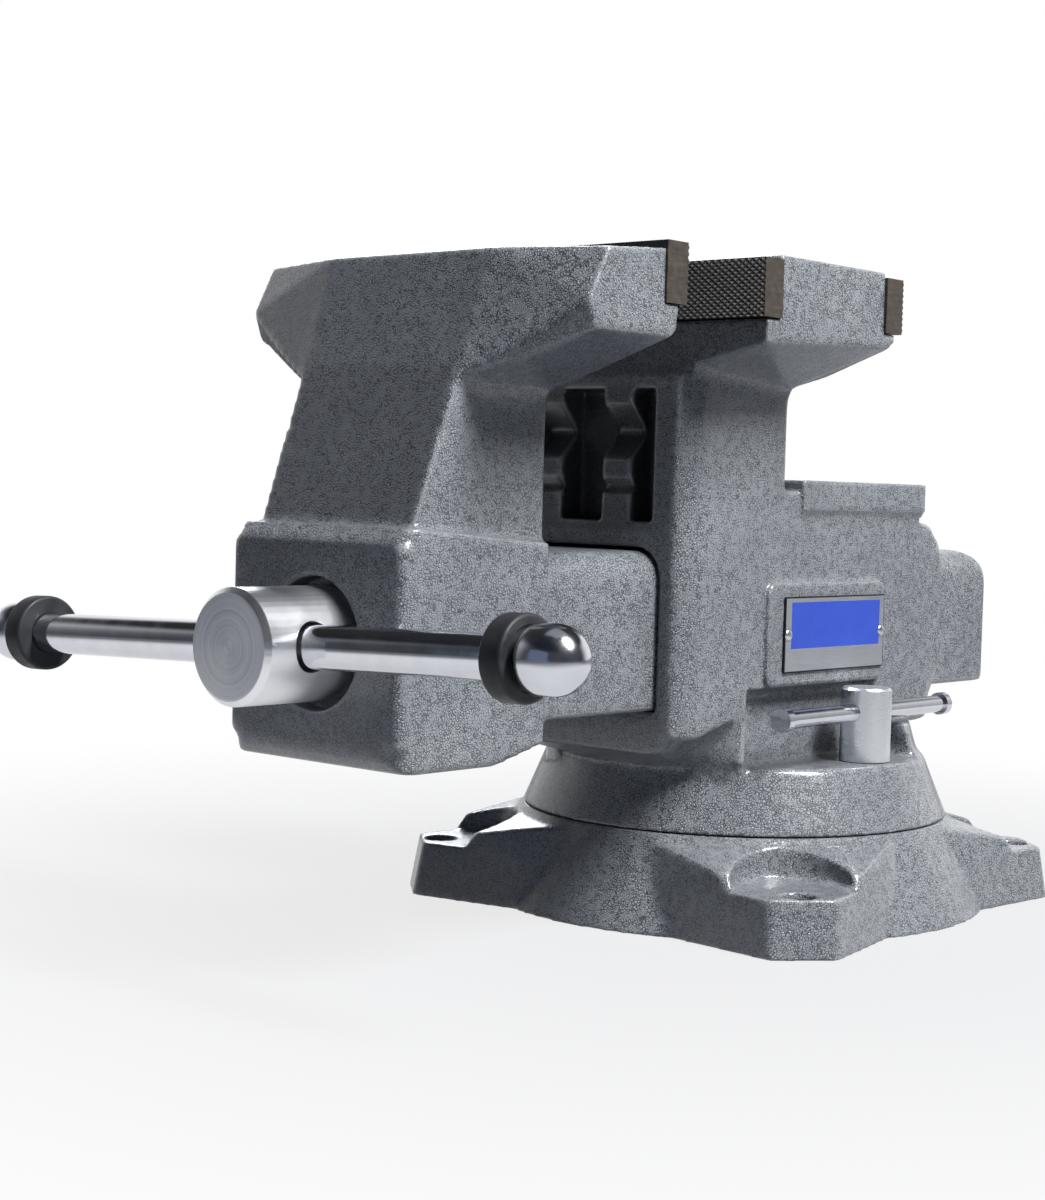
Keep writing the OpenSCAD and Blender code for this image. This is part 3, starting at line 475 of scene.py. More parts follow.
# The regions in order: below the jaw, the recess, both insert seats, the passage, both front
# corners, the anvil, the chin, the pad of the nameplate and the edge over the base.
cast(body_casting, body_lumps, 0.0016, 3, 5, [
    ((-90, -110, 185), (90, 80, 226), 3, 26),
    ((-36, -106, 150), (36, -70, 206), 2, 1),
    ((-90, -106, 225), (90, -93, 256), 1, 0),
    ((-90, -23, 225), (90, -8, 256), 1, 0),
    ((-40, -100, 83), (40, 80, 146.5), 1, 0),
    ((43.5, -110, 62), (56, -82, 190), 7, 3),
    ((-56, -110, 62), (-43.5, -82, 190), 7, 3),
    ((-60, -34, 158.5), (60, 60, 176), 1, 1),
    ((-60, -112, 50), (60, -60, 72), 3, 16),
    ((50.4, -57, 88), (56, 32, 136), 1, 0),
    ((-110, -110, 34), (110, 110, 41), 1, 0),
])
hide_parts("vise_body")
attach(body_casting, "body")

# Movable jaw casting
# Jaw, column, spindle block and slide beam in one iron casting with the same enamel. The
# beam is machined to slide in the passage of the body, and the block is bored for the spindle.
jaw_casting = copy_of_node("jaw_casting", "movable_jaw")
# The upright front corners of the spindle block are tighter than the machined form.
block_corner = ((30, -238.4), (39.6, -238.4), (41.9, -236.2), (41.9, -226), (30, -226))
block_corner_ends = ((30, -234), (37.5, -234), (37.5, -226))
block_lumps = [hull_lump([
    (side * x, y, z)
    for outline, levels in ((block_corner, (81, 146)), (block_corner_ends, (74, 150.5)))
    for x, y in outline for z in levels
]) for side in (-1, 1)]
# The regions in order: below the wings, their swept front, the insert seat, and the bore with
# the inside of the beam.
cast(jaw_casting, block_lumps, 0.0016, 3, 3, [
    ((-90, -250, 180), (90, -140, 225), 3, 30),
    ((-76, -250, 184), (76, -176, 222), 8, 30),
    ((-90, -160, 225), (90, -145, 256), 1, 0),
    ((-30, -242, 85), (30, 140, 140), 1, 0),
])
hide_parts("movable_jaw")
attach(jaw_casting, "jaw")

# Jaw inserts
# Three hardened steel bars, screwed from the front into seats of the jaws. Their faces are
# cut with crossed grooves that leave a diamond hatch, blackened, and their ends are ground.
insert_steel, insert_tree, insert_shader = new_material("hatched_steel")
insert_shader.inputs["Metallic"].default_value = 0.75
insert_place = node_of(insert_tree, "ShaderNodeTexCoord", -1400, 0).outputs["Object"]
insert_axes = node_of(insert_tree, "ShaderNodeSeparateXYZ", -1200, 0)
insert_tree.links.new(insert_place, insert_axes.inputs[0])
insert_side = math_of(insert_tree, "ABSOLUTE", -1000, 0, insert_axes.outputs["X"])
insert_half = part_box("front_jaw_insert")[1][0]
insert_end = mapped(
    insert_tree, insert_side, insert_half - 0.0006, insert_half - 0.0003, 0, 1, -800, 0,
)
insert_cloud = mottle(insert_tree, insert_place, 340, 4, -1000, 300).outputs["Fac"]
insert_black = colours_by(
    insert_tree, insert_cloud, (0.04, 0.039, 0.038), (0.1, 0.094, 0.088), -600, 300,
)
insert_tip = node_of(insert_tree, "ShaderNodeAttribute", -1000, 600, attribute_name="edge")
insert_dark = colours_by(
    insert_tree, insert_tip.outputs["Fac"], insert_black, (0.62, 0.6, 0.57), -400, 300,
)
insert_lines = node_of(insert_tree, "ShaderNodeMapping", -1000, -400)
insert_lines.inputs["Scale"].default_value = (1, 0.12, 1)
insert_tree.links.new(insert_place, insert_lines.inputs["Vector"])
insert_along = insert_lines.outputs["Vector"]
insert_scratch = mottle(insert_tree, insert_along, 900, 3, -800, -400).outputs["Fac"]
ground_dark, ground_light = (0.078, 0.065, 0.055), (0.16, 0.136, 0.117)
insert_brown = colours_by(insert_tree, insert_scratch, ground_dark, ground_light, -600, -200)


def look(tree, shader, colour, roughness, normal):
    """The three sockets that give a surface its look."""
    for name, socket in (("Base Color", colour), ("Roughness", roughness), ("Normal", normal)):
        tree.links.new(socket, shader.inputs[name])


look(
    insert_tree, insert_shader,
    colours_by(insert_tree, insert_end, insert_dark, insert_brown, -200, 200),
    mapped(insert_tree, insert_cloud, 0.3, 0.7, 0.36, 0.55, -400, -100),
    bump_from(insert_tree, insert_scratch, 0.2, 0.0001, -200, -400),
)


def box_of(node_name):
    """The two corners of a node's box."""
    return [Vector(corner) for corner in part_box(node_name)]


def join_doubles(ob, gap=0.00001):
    """Joins what lies on the same spot, drops what has no size and turns every face outwards."""
    edit_all(ob)
    bpy.ops.mesh.remove_doubles(threshold=gap)
    bpy.ops.mesh.dissolve_degenerate(threshold=gap / 2)
    bpy.ops.mesh.normals_make_consistent(inside=False)
    bpy.ops.object.mode_set(mode="OBJECT")


def round_bar(sides, radius, start, end, turned_by=0.0):
    """A bar between two points, round or with flat sides."""
    deselect()
    start, end = Vector(start), Vector(end)
    way = end - start
    bpy.ops.mesh.primitive_cylinder_add(vertices=sides, radius=radius, depth=way.length)
    bar = bpy.context.object
    stand = way.to_track_quat("Z", "Y").to_matrix().to_4x4() @ Matrix.Rotation(turned_by, 4, "Z")
    bar.data.transform(Matrix.Translation((start + end) / 2) @ stand)
    return bar


screw_aside = 0.038
pocket_radius = 0.0068
pocket_deep = 0.008
shank_hole_radius = 0.0044
beyond = 0.002


def hatched_insert(name, node_name, body, facing):
    """One insert: crossed grooves over the face, sides and back pulled out of the trimmed edge,
    and pockets for the screws."""
    low, high = box_of(node_name)
    middle = (low + high) / 2
    tooth_w, tooth_h, tooth_deep = 0.0030, 0.0022, 0.0006
    count = 66
    deselect()
    bpy.ops.mesh.primitive_grid_add(
        x_subdivisions=count, y_subdivisions=count, size=count, rotation=(0, 0, math.pi / 4),
    )
    ob = bpy.context.object
    ob.name = name
    bpy.ops.object.transform_apply(rotation=True)
    ob.scale = (tooth_w / math.sqrt(2), tooth_h / math.sqrt(2), 1)
    bpy.ops.object.transform_apply(scale=True)
    ob.rotation_euler = (-facing * math.pi / 2, 0, 0)
    face_y = high.y if facing > 0 else low.y
    back_y = low.y if facing > 0 else high.y
    ob.location = (middle.x, face_y - facing * tooth_deep, middle.z)
    bpy.ops.object.transform_apply(location=True, rotation=True)
    bpy.ops.object.mode_set(mode="EDIT")
    bpy.ops.mesh.select_all(action="SELECT")
    bpy.ops.mesh.poke(offset=tooth_deep)
    for spot, way in (
        ((low.x, 0, 0), (-1, 0, 0)), ((high.x, 0, 0), (1, 0, 0)),
        ((0, 0, low.z), (0, 0, -1)), ((0, 0, high.z), (0, 0, 1)),
    ):
        bpy.ops.mesh.select_all(action="SELECT")
        bpy.ops.mesh.bisect(plane_co=spot, plane_no=way, clear_outer=True, use_fill=False)
    bpy.ops.mesh.select_all(action="DESELECT")
    bpy.ops.mesh.select_mode(type="EDGE")
    bpy.ops.mesh.select_non_manifold(
        extend=False, use_wire=False, use_boundary=True,
        use_multi_face=False, use_non_contiguous=False, use_verts=False,
    )
    bpy.ops.mesh.extrude_edges_move(TRANSFORM_OT_translate={"value": (0, -facing * 0.001, 0)})
    shape = bmesh.from_edit_mesh(ob.data)
    for vertex in shape.verts:
        if vertex.select:
            vertex.co.y = back_y
    bmesh.update_edit_mesh(ob.data)
    bpy.ops.mesh.edge_face_add()
    bpy.ops.object.mode_set(mode="OBJECT")
    join_doubles(ob, 0.00002)
    for side in (-1, 1):
        screw_x = middle.x + side * screw_aside
        front = (screw_x, face_y + facing * beyond, middle.z)
        back = (screw_x, back_y - facing * beyond, middle.z)
        pocket_floor = (screw_x, face_y - facing * pocket_deep, middle.z)
        cut_away(ob, round_bar(48, pocket_radius, pocket_floor, front))
        cut_away(ob, round_bar(32, shank_hole_radius, back, front))
    # The tips of the teeth are worn bright.
    tip_depth, tip_wear = 0.00012, 0.8
    mark_wear_and_edge_highlight(ob.data, [
        tip_wear if abs(vertex.co.y - face_y) < tip_depth else 0.0 for vertex in ob.data.vertices
    ])
    ob.data.materials.clear()
    ob.data.materials.append(insert_steel)
    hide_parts(node_name)
    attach(ob, body)


hatched_insert("movable_insert_bar", "movable_jaw_insert", "jaw", 1)
hatched_insert("front_insert_bar", "front_jaw_insert", "body", -1)
hatched_insert("rear_insert_bar", "rear_jaw_insert", "body", 1)

# Insert screws
# Two blackened socket head cap screws hold each insert; their heads sit in its pockets and
# have a hexagon for the key.
oxide_screw, oxide_tree, oxide_shader = new_material("blackened_screw")
oxide_shader.inputs["Metallic"].default_value = 0.8
oxide_place = node_of(oxide_tree, "ShaderNodeTexCoord", -900, 0).outputs["Object"]
oxide_cloud = mottle(oxide_tree, oxide_place, 500, 3, -700, 0).outputs["Fac"]
look(
    oxide_tree, oxide_shader,
    colours_by(oxide_tree, oxide_cloud, (0.025, 0.025, 0.027), (0.07, 0.068, 0.066), -300, 100),
    mapped(oxide_tree, oxide_cloud, 0.3, 0.7, 0.3, 0.5, -300, -200),
    bump_from(oxide_tree, oxide_cloud, 0.2, 0.0001, -100, -300),
)
key_radius = 0.0034
key_deep = 0.0045


def cap_screws(name, node_name, insert_node, body, facing):
    """The two screws of one insert, with the hexagon for the key cut into their heads."""
    ob = copy_of_node(name, node_name)
    low, high = box_of(node_name)
    insert_low, insert_high = box_of(insert_node)
    top_y = high.y if facing > 0 else low.y
    for side in (-1, 1):
        screw_x, screw_z = side * screw_aside, (insert_low.z + insert_high.z) / 2
        front = (screw_x, top_y + facing * beyond, screw_z)
        key_floor = (screw_x, top_y - facing * key_deep, screw_z)
        cut_away(ob, round_bar(6, key_radius, key_floor, front))
    join_doubles(ob)
    pick(ob)
    bpy.ops.object.shade_smooth_by_angle(angle=math.radians(30))
    ob.data.materials.append(oxide_screw)
    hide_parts(node_name)
    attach(ob, body)


cap_screws("movable_cap_screws", "movable_insert_screws", "movable_jaw_insert", "jaw", 1)
cap_screws("front_cap_screws", "front_insert_screws", "front_jaw_insert", "body", -1)
cap_screws("rear_cap_screws", "rear_insert_screws", "rear_jaw_insert", "body", 1)

# Spindle
# A steel bar turned on a lathe, with a square-edged head that takes the handle and a rolled
# lead screw behind it. The face of the head keeps the rings of the turning tool.
spindle_low, spindle_high = box_of("spindle")
spindle_z = (spindle_low.z + spindle_high.z) / 2
head_face_y = spindle_low.y
spindle_steel, spindle_tree, spindle_shader = new_material("turned_steel")
spindle_shader.inputs["Metallic"].default_value = 1.0
spindle_coord = node_of(spindle_tree, "ShaderNodeTexCoord", -1800, 0).outputs["Object"]
spindle_centre = node_of(spindle_tree, "ShaderNodeMapping", -1600, 0)
spindle_centre.inputs["Location"].default_value = (0, 0, -spindle_z)
spindle_tree.links.new(spindle_coord, spindle_centre.inputs["Vector"])
spindle_axes = node_of(spindle_tree, "ShaderNodeSeparateXYZ", -1400, 0)
spindle_tree.links.new(spindle_centre.outputs["Vector"], spindle_axes.inputs[0])
spindle_flat = node_of(spindle_tree, "ShaderNodeCombineXYZ", -1200, 100)
spindle_tree.links.new(spindle_axes.outputs["X"], spindle_flat.inputs["X"])
spindle_tree.links.new(spindle_axes.outputs["Z"], spindle_flat.inputs["Y"])
spindle_radius = node_of(spindle_tree, "ShaderNodeVectorMath", -1000, 100, operation="LENGTH")
spindle_tree.links.new(spindle_flat.outputs[0], spindle_radius.inputs[0])
# The turned rings lie on the face of the head, inside its chamfer.
spindle_face = mapped(
    spindle_tree, spindle_axes.outputs["Y"], head_face_y + 0.0002, head_face_y + 0.0003,
    1, 0, -1000, 400,
)
spindle_inner = mapped(
    spindle_tree, spindle_radius.outputs["Value"], 0.0166, 0.0172, 1, 0, -800, 500,
)
spindle_turned = math_of(spindle_tree, "MULTIPLY", -600, 450, spindle_face, spindle_inner)
spindle_x, spindle_up = spindle_axes.outputs["X"], spindle_axes.outputs["Z"]
spindle_angle = math_of(spindle_tree, "ARCTAN2", -1000, -100, spindle_x, spindle_up)
spindle_wind = node_of(spindle_tree, "ShaderNodeCombineXYZ", -800, 100)
spindle_tree.links.new(spindle_radius.outputs["Value"], spindle_wind.inputs["X"])
spindle_rings = mottle(spindle_tree, spindle_wind.outputs[0], 900, 4, -600, 100).outputs["Fac"]
spindle_grain_map = node_of(spindle_tree, "ShaderNodeMapping", -1200, -400)
spindle_grain_map.inputs["Scale"].default_value = (0.05, 1, 0.05)
spindle_tree.links.new(spindle_coord, spindle_grain_map.inputs["Vector"])
spindle_along = spindle_grain_map.outputs["Vector"]
spindle_grain = mottle(spindle_tree, spindle_along, 1500, 3, -1000, -400).outputs["Fac"]
spindle_cloud = mottle(spindle_tree, spindle_coord, 45, 3, -1000, -700).outputs["Fac"]
spindle_marks = colours_by(spindle_tree, spindle_turned, spindle_grain, spindle_rings, -400, 0)
# Two opposite quadrants of the face are painted lighter: a painted glint on the turned rings.
spindle_double = math_of(spindle_tree, "MULTIPLY", -900, -200, spindle_angle, 2.0)
spindle_sector = math_of(spindle_tree, "SINE", -800, -100, spindle_double)
spindle_painted_glint = mapped(spindle_tree, spindle_sector, -1, 1, 0, 0.55, -600, -100)
ring_dark, ring_light = (0.64, 0.67, 0.76), (0.97, 0.98, 1.0)
side_dark, side_light = (0.76, 0.77, 0.81), (0.92, 0.93, 0.96)
spindle_ring_tone = colours_by(spindle_tree, spindle_rings, ring_dark, ring_light, -300, 300)
spindle_face_tone = colours_by(
    spindle_tree, spindle_painted_glint, spindle_ring_tone, (1.0, 1.0, 1.0), -150, 300,
)
spindle_gloss = colours_by(spindle_tree, spindle_turned, spindle_cloud, spindle_rings, -400, -100)
spindle_side_tone = colours_by(spindle_tree, spindle_cloud, side_dark, side_light, -300, 600)
look(
    spindle_tree, spindle_shader,
    colours_by(spindle_tree, spindle_turned, spindle_side_tone, spindle_face_tone, 0, 400),
    mapped(spindle_tree, spindle_gloss, 0.25, 0.75, 0.28, 0.4, -100, 100),
    bump_from(spindle_tree, spindle_marks, 0.02, 0.00001, 0, -200),
)


def turned(name, profile, place, way, steps=64, pitch=0.0, turns=1):
    """A lathe piece or a thread: a profile of (along, radius) points swept round an axis."""
    mesh = bpy.data.meshes.new(name)
    lines = [(i, i + 1) for i in range(len(profile) - 1)]
    mesh.from_pydata([(along, 0, radius) for along, radius in profile], lines, [])
    ob = new_object(name, mesh)
    apply_modifier(
        ob, "SCREW", axis="X", angle=2 * math.pi, steps=steps, render_steps=steps,
        screw_offset=pitch, iterations=turns, use_merge_vertices=True, merge_threshold=0.000002,
    )
    turn = Vector(way).to_track_quat("X", "Z").to_matrix().to_4x4()
    ob.data.transform(Matrix.Translation(place) @ turn)
    join_doubles(ob, 0.000002)
    return ob


def trim(ob, spot, way):
    """Cuts a piece at a plane and closes the cut; what lies beyond it goes."""
    edit_all(ob)
    bpy.ops.mesh.bisect(plane_co=spot, plane_no=way, clear_outer=True, use_fill=True)
    bpy.ops.object.mode_set(mode="OBJECT")


thread_crest = 0.0123
thread_root = 0.0097
thread_pitch = 0.00508
thread_start_y = -0.1945
thread_end_y = spindle_high.y - 0.002
thread_steps = 40
spare_turns = 2
thread_turns = math.ceil((thread_end_y - thread_start_y) / thread_pitch) + 2 * spare_turns
thread_profile = [
    (0.0, thread_root), (thread_pitch * 0.33, thread_root), (thread_pitch * 0.46, thread_crest),
    (thread_pitch * 0.87, thread_crest), (thread_pitch, thread_root),
]
thread = turned(
    "thread", thread_profile, (0, thread_start_y - spare_turns * thread_pitch, spindle_z),
    (0, 1, 0), thread_steps, thread_pitch, thread_turns,
)
trim(thread, (0, thread_start_y, 0), (0, -1, 0))
trim(thread, (0, thread_end_y, 0), (0, 1, 0))
# The cross hole for the handle is a little wider than the bar and leans as the bar does.
right_ball_low, right_ball_high = box_of("right_handle_ball")
left_ball_low, left_ball_high = box_of("left_handle_ball")
handle_way = Vector((0.99945, 0, 0.033155))
handle_middle = Vector((
    (right_ball_high.x + left_ball_low.x) / 2,
    (right_ball_low.y + right_ball_high.y) / 2,
    (right_ball_low.z + right_ball_high.z + left_ball_low.z + left_ball_high.z) / 4,
))
cross_hole_radius = 0.0083
lapped_into_thread = 0.0005
spindle_piece = copy_of_node("spindle_bar", "spindle")
cut_away(spindle_piece, round_bar(
    64, cross_hole_radius, handle_middle - handle_way * 0.03, handle_middle + handle_way * 0.05,
))
trim(spindle_piece, (0, thread_start_y + lapped_into_thread, 0), (0, 1, 0))
apply_modifier(
    spindle_piece, "REMESH", mode="SHARP", octree_depth=7, scale=0.98,
    sharpness=1.0, use_remove_disconnected=False,
)
apply_modifier(spindle_piece, "SMOOTH", factor=0.5, iterations=1)
point_radius = thread_root - 0.0002
point = turned("point", [
    (-0.004, 0), (-0.004, point_radius), (0.0012, point_radius),
    (0.002, point_radius - 0.0008), (0.002, 0),
], (0, thread_end_y, spindle_z), (0, 1, 0), thread_steps)
pick(spindle_piece)
thread.select_set(True)
point.select_set(True)
bpy.ops.object.join()
bpy.ops.object.shade_smooth_by_angle(angle=math.radians(24))
spindle_piece.data.materials.append(spindle_steel)
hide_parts("spindle")
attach(spindle_piece, "screw")

# Screw fittings and fastenings
# What holds the lead screw and the turntable: washer, collar and pin, the ductile iron nut
# with its bolt, the pivot bolt with its washer and the lock nuts, turned or cast and plain.
def worn_metal(name, dark, light, metallic, smooth, rough, scale, bump):
    """A plain metal with cloudy tone, uneven gloss and a fine grain."""
    material, tree, shader = new_material(name)
    shader.inputs["Metallic"].default_value = metallic
    place = node_of(tree, "ShaderNodeTexCoord", -1100, 0).outputs["Object"]
    cloud = mottle(tree, place, scale, 4, -900, 100).outputs["Fac"]
    grain = mottle(tree, place, scale * 14, 2, -900, -200).outputs["Fac"]
    look(
        tree, shader,
        colours_by(tree, mapped(tree, cloud, 0.3, 0.7, 0, 1, -600, 100), dark, light, -300, 100),
        mapped(tree, grain, 0.25, 0.75, smooth, rough, -600, -200),
        bump_from(tree, grain, bump, 0.00012, -300, -300),
    )
    return material


bronze_dark, bronze_light = (0.42, 0.27, 0.11), (0.6, 0.42, 0.2)
zinc_dark, zinc_light = (0.46, 0.47, 0.49), (0.62, 0.63, 0.65)
bronze = worn_metal("bearing_bronze", bronze_dark, bronze_light, 1.0, 0.25, 0.42, 90, 0.12)
nut_iron = worn_metal("nut_iron", (0.1, 0.1, 0.1), (0.2, 0.2, 0.2), 0.6, 0.45, 0.65, 70, 0.4)
zinc_steel = worn_metal("zinc_steel", zinc_dark, zinc_light, 1.0, 0.24, 0.42, 60, 0.12)


def paint_node(node_name, material):
    """Gives a machined form that is shown as it is its material."""
    nodes[node_name].data.materials.clear()
    nodes[node_name].data.materials.append(material)


paint_node("thrust_washer", bronze)
paint_node("spindle_collar", spindle_steel)
paint_node("main_nut", nut_iron)
for node_name in (
    "collar_pin", "nut_bolt", "pivot_bolt", "pivot_washer", "right_lock_nut", "left_lock_nut",
):
    paint_node(node_name, zinc_steel)

# Handle
# A polished and chromed bar slides through the head. A domed knob is pressed on each end,
# and a black rubber ring before each knob softens the fall of the bar.
def chromed(name, smooth, rough, drawn):
    """Chrome plate over polished steel, with faint lines along the piece and uneven gloss."""
    material, tree, shader = new_material(name)
    shader.inputs["Metallic"].default_value = 1.0
    place = node_of(tree, "ShaderNodeTexCoord", -1300, 0).outputs["Object"]
    along = node_of(tree, "ShaderNodeMapping", -1100, -200)
    along.inputs["Scale"].default_value = (drawn, 1, 1)
    tree.links.new(place, along.inputs["Vector"])
    lines = mottle(tree, along.outputs["Vector"], 900, 3, -900, -200).outputs["Fac"]
    smear = mottle(tree, place, 120, 4, -900, 200).outputs["Fac"]
    look(
        tree, shader,
        colours_by(tree, smear, (0.6, 0.61, 0.66), (0.78, 0.79, 0.84), -300, 200),
        mapped(tree, smear, 0.35, 0.75, smooth, rough, -500, 0),
        bump_from(tree, lines, 0.06, 0.00008, -300, -200),
    )
    return material


chrome = chromed("polished_chrome", 0.07, 0.15, 0.12)
knob_chrome = chromed("knob_chrome", 0.14, 0.24, 1.0)
rubber, rubber_tree, rubber_shader = new_material("black_rubber")
rubber_shader.inputs["Specular IOR Level"].default_value = 0.35
rubber_place = node_of(rubber_tree, "ShaderNodeTexCoord", -1000, 0).outputs["Object"]
rubber_bloom = mottle(rubber_tree, rubber_place, 160, 4, -800, 100).outputs["Fac"]
rubber_skin = mottle(rubber_tree, rubber_place, 2600, 2, -800, -200).outputs["Fac"]
look(
    rubber_tree, rubber_shader,
    colours_by(rubber_tree, rubber_bloom, (0.012, 0.0125, 0.015), (0.034, 0.036, 0.042), -300, 100),
    mapped(rubber_tree, rubber_bloom, 0.3, 0.7, 0.42, 0.6, -500, 0),
    bump_from(rubber_tree, rubber_skin, 0.25, 0.00008, -300, -200),
)

bar_radius = 0.0072
bar_half = 0.13
bar_chamfer = 0.001
handle_bar = turned("chromed_bar", [
    (-bar_half, 0), (-bar_half, bar_radius - bar_chamfer), (-bar_half + bar_chamfer, bar_radius),
    (bar_half - bar_chamfer, bar_radius), (bar_half, bar_radius - bar_chamfer), (bar_half, 0),
], handle_middle, handle_way)
knob_radius = 0.0107
knob_centre = 0.132
knob_tip = knob_centre + knob_radius * 0.9975
knob_start = 0.12245
dome = [
    (knob_centre + knob_radius * math.sin(math.radians(a)), knob_radius * math.cos(math.radians(a)))
    for a in range(0, 85, 6)
]
# From the ring outwards: a neck, a chamfer, the full round and the dome with its blunt tip.
knob_profile = [
    (knob_start, 0), (knob_start, 0.0081), (0.1228, 0.0084), (0.1249, 0.0104),
    (0.1257, knob_radius), *dome, (knob_tip, 0.0006), (knob_tip, 0),
]
ring_start = 0.1133
ring_end = ring_start + 0.009
ring_outer = 0.0135
ring_edge = 0.0013
ring_hole = bar_radius + 0.00006
ring_mouth = ring_start + 0.0004
ring_dish = ring_end - 0.0009
ring_round = [
    (ring_edge * math.sin(math.radians(a)), ring_edge * math.cos(math.radians(a)))
    for a in range(0, 91, 15)
]
ring_profile = [
    (ring_mouth, ring_hole), (ring_start, bar_radius + 0.0006),
    *[(ring_start + ring_edge - across, ring_outer - ring_edge + up) for up, across in ring_round],
    *[(ring_end - ring_edge + across, ring_outer - ring_edge + up) for across, up in ring_round],
    (ring_end, 0.0102), (ring_dish, 0.0098), (ring_dish, ring_hole), (ring_mouth, ring_hole),
]
handle_pieces = [(handle_bar, "handle_bar", chrome, "chrome")]
for side, way in (("right", handle_way), ("left", -handle_way)):
    knob = turned(side + "_knob", knob_profile, handle_middle, way)
    handle_pieces.append((knob, side + "_handle_ball", knob_chrome, "chrome"))
    bumper = turned(side + "_bumper", ring_profile, handle_middle, way)
    handle_pieces.append((bumper, side + "_rubber_ring", rubber, "black_rubber"))
for piece, node_name, material, slot in handle_pieces:
    pick(piece)
    bpy.ops.object.shade_smooth_by_angle(angle=math.radians(32))
    piece.data.materials.append(material)
    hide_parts(node_name)
    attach(piece, "handle")

# Swivel lock screws
# A zinc plated steel screw on each side clamps the turntable, each with a thin tommy bar
# that slides in a cross hole and is headed over at both ends.
lock_steel, lock_tree, lock_shader = new_material("lock_screw_steel")
lock_shader.inputs["Metallic"].default_value = 1.0
lock_place = node_of(lock_tree, "ShaderNodeTexCoord", -1300, 0).outputs["Object"]
lock_map = node_of(lock_tree, "ShaderNodeMapping", -1100, -100)
lock_map.inputs["Scale"].default_value = (0.2, 0.2, 1)
lock_tree.links.new(lock_place, lock_map.inputs["Vector"])
lock_lines = mottle(lock_tree, lock_map.outputs["Vector"], 1800, 3, -900, -100).outputs["Fac"]
lock_cloud = mottle(lock_tree, lock_place, 80, 3, -900, 200).outputs["Fac"]
look(
    lock_tree, lock_shader,
    colours_by(lock_tree, lock_cloud, (0.78, 0.81, 0.84), (0.92, 0.94, 0.97), -300, 200),
    mapped(lock_tree, lock_lines, 0.25, 0.75, 0.26, 0.42, -500, 0),
    bump_from(lock_tree, lock_lines, 0.18, 0.0001, -300, -200),
)
for side in ("right", "left"):
    paint_node(side + "_lock_screw", lock_steel)
    paint_node(side + "_lock_bar", chrome)

# Nameplate
# A thin aluminium plate on the raised pad of the casting, brushed along its length, with a
# printed blue field over its upper part. The words of the real one are left off.
plate_low, plate_high = box_of("nameplate")
plate_metal, plate_tree, plate_shader = new_material("printed_plate")
plate_place = node_of(plate_tree, "ShaderNodeTexCoord", -1500, 0).outputs["Object"]
plate_axes = node_of(plate_tree, "ShaderNodeSeparateXYZ", -1300, 100)
plate_tree.links.new(plate_place, plate_axes.inputs[0])
# The blue field: a margin in metres from each edge of the plate, and a soft printed edge.
blue_sides = [
    ("Y", plate_low.y + 0.0042, 0, 1), ("Y", plate_high.y - 0.0036, 1, 0),
    ("Z", plate_low.z + 0.0092, 0, 1), ("Z", plate_high.z - 0.0021, 1, 0),
]
print_soft = 0.00012
blue_field = 1.0
for i, (axis, at, before, after) in enumerate(blue_sides):
    x, y = -900 + i * 60, 300 - i * 200
    socket = plate_axes.outputs[axis]
    share = mapped(plate_tree, socket, at - print_soft, at + print_soft, before, after, x - 200, y)
    blue_field = math_of(plate_tree, "MULTIPLY", x, y, blue_field, share)
plate_map = node_of(plate_tree, "ShaderNodeMapping", -1300, -900)
plate_map.inputs["Scale"].default_value = (1, 0.05, 1)
plate_tree.links.new(plate_place, plate_map.inputs["Vector"])
plate_lines = mottle(plate_tree, plate_map.outputs["Vector"], 2600, 3, -1100, -900).outputs["Fac"]
silver_dark, silver_light = (0.41, 0.425, 0.46), (0.58, 0.6, 0.64)
plate_silver = colours_by(plate_tree, plate_lines, silver_dark, silver_light, -500, 100)
plate_cloud = mottle(plate_tree, plate_place, 180, 3, -900, -600).outputs["Fac"]
blue_dark, blue_light = (0.02, 0.055, 0.38), (0.028, 0.072, 0.45)
plate_blue = colours_by(plate_tree, plate_cloud, blue_dark, blue_light, -500, -100)
plate_face = colours_by(plate_tree, blue_field, plate_silver, plate_blue, -200, 200)
# A dark line runs round the rim of the plate.
plate_middle, plate_half = (plate_low + plate_high) / 2, (plate_high - plate_low) / 2
plate_rim = 0.0
for axis in "YZ":
    middle, half = (getattr(corner, axis.lower()) for corner in (plate_middle, plate_half))
    offset = math_of(plate_tree, "SUBTRACT", -1100, 700, plate_axes.outputs[axis], middle)
    off_middle = math_of(plate_tree, "ABSOLUTE", -900, 700, offset)
    share = mapped(plate_tree, off_middle, half - 0.0007, half - 0.00045, 0, 1, -700, 700)
    plate_rim = math_of(plate_tree, "MAXIMUM", -500, 700, plate_rim, share)
plate_metallic = mapped(plate_tree, blue_field, 0, 1, 0.85, 0.0, -200, -50)
plate_tree.links.new(plate_metallic, plate_shader.inputs["Metallic"])
plate_print = bump_from(plate_tree, blue_field, 0.4, 0.0001, -200, -500)
look(
    plate_tree, plate_shader,
    colours_by(plate_tree, plate_rim, plate_face, (0.025, 0.026, 0.03), 0, 300),
    mapped(plate_tree, plate_lines, 0.2, 0.8, 0.28, 0.42, -200, -200),
    bump_from(plate_tree, plate_lines, 0.1, 0.00006, 0, -300, plate_print),
)
deselect()
bpy.ops.mesh.primitive_cube_add(size=1, location=plate_middle)
nameplate = bpy.context.object
nameplate.name = "nameplate_sheet"
nameplate.scale = plate_high - plate_low
bpy.ops.object.transform_apply(location=True, rotation=True, scale=True)
bpy.ops.object.mode_set(mode="EDIT")
bpy.ops.mesh.select_mode(type="EDGE")
bpy.ops.mesh.select_all(action="DESELECT")
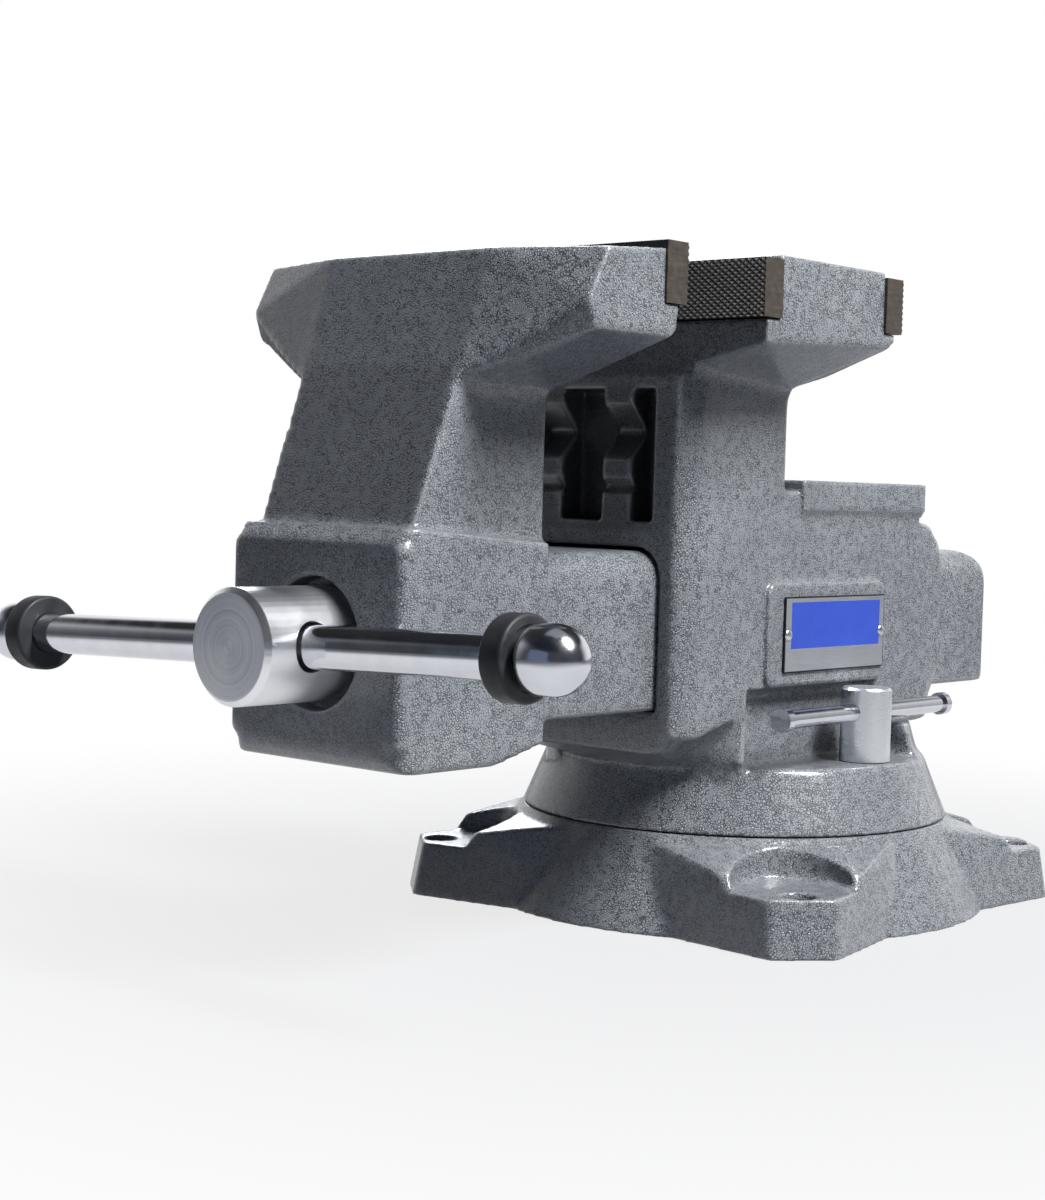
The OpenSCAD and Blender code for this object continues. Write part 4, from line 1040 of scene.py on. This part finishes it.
# Its four corners are rounded, and the edge of its face is pressed back a little.
plate_shape = bmesh.from_edit_mesh(nameplate.data)
for line in plate_shape.edges:
    one, other = (vertex.co for vertex in line.verts)
    line.select_set(abs(one.x - other.x) > plate_half.x)
bmesh.update_edit_mesh(nameplate.data)
bpy.ops.mesh.bevel(offset=0.0009, segments=4)
bpy.ops.mesh.select_all(action="DESELECT")
plate_shape = bmesh.from_edit_mesh(nameplate.data)
for face in plate_shape.faces:
    face.select_set(face.normal.x > 0.9)
bmesh.update_edit_mesh(nameplate.data)
bpy.ops.mesh.inset(thickness=0.0003, depth=0.0)
bpy.ops.object.mode_set(mode="OBJECT")
rim_width, rim_drop = 0.00025, 0.0002
for vertex in nameplate.data.vertices:
    from_low, from_high = vertex.co - plate_low, plate_high - vertex.co
    from_rim = min(from_low.y, from_high.y, from_low.z, from_high.z)
    if from_high.x < rim_drop / 2 and from_rim < rim_width:
        vertex.co.x -= rim_drop
pick(nameplate)
bpy.ops.object.shade_smooth_by_angle(angle=math.radians(25))
nameplate.data.materials.append(plate_metal)
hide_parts("nameplate")
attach(nameplate, "body")

# Nameplate rivets
# Two small round head drive pins of bare aluminium, cold headed and driven through the plate
# into the casting, one near each short side.
rivet_dark, rivet_light = (0.55, 0.56, 0.57), (0.72, 0.73, 0.74)
rivet_metal = worn_metal("rivet_aluminium", rivet_dark, rivet_light, 1.0, 0.24, 0.4, 200, 0.1)
rivet_low, rivet_high = box_of("nameplate_rivets")
rivet_radius = 0.00225
rivet_rise = 0.0009
rivet_shank = 0.00148
rivet_deep = rivet_low.x - plate_high.x
rivet_dome = [
    (rivet_rise * math.sin(math.radians(a)), rivet_radius * math.cos(math.radians(a)))
    for a in range(0, 90, 15)
]
rivet_profile = [
    (rivet_deep, 0), (rivet_deep, rivet_shank), (0, rivet_shank), *rivet_dome, (rivet_rise, 0),
]
rivets = []
for rivet_y in (rivet_low.y + rivet_radius, rivet_high.y - rivet_radius):
    rivet_place = (plate_high.x, rivet_y, (rivet_low.z + rivet_high.z) / 2)
    rivets.append(turned("rivet", rivet_profile, rivet_place, (1, 0, 0), 32))
pick(rivets[0])
rivets[1].select_set(True)
bpy.ops.object.join()
bpy.ops.object.shade_smooth_by_angle(angle=math.radians(40))
rivets[0].name = "nameplate_pins"
rivets[0].data.materials.append(rivet_metal)
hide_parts("nameplate_rivets")
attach(rivets[0], "body")
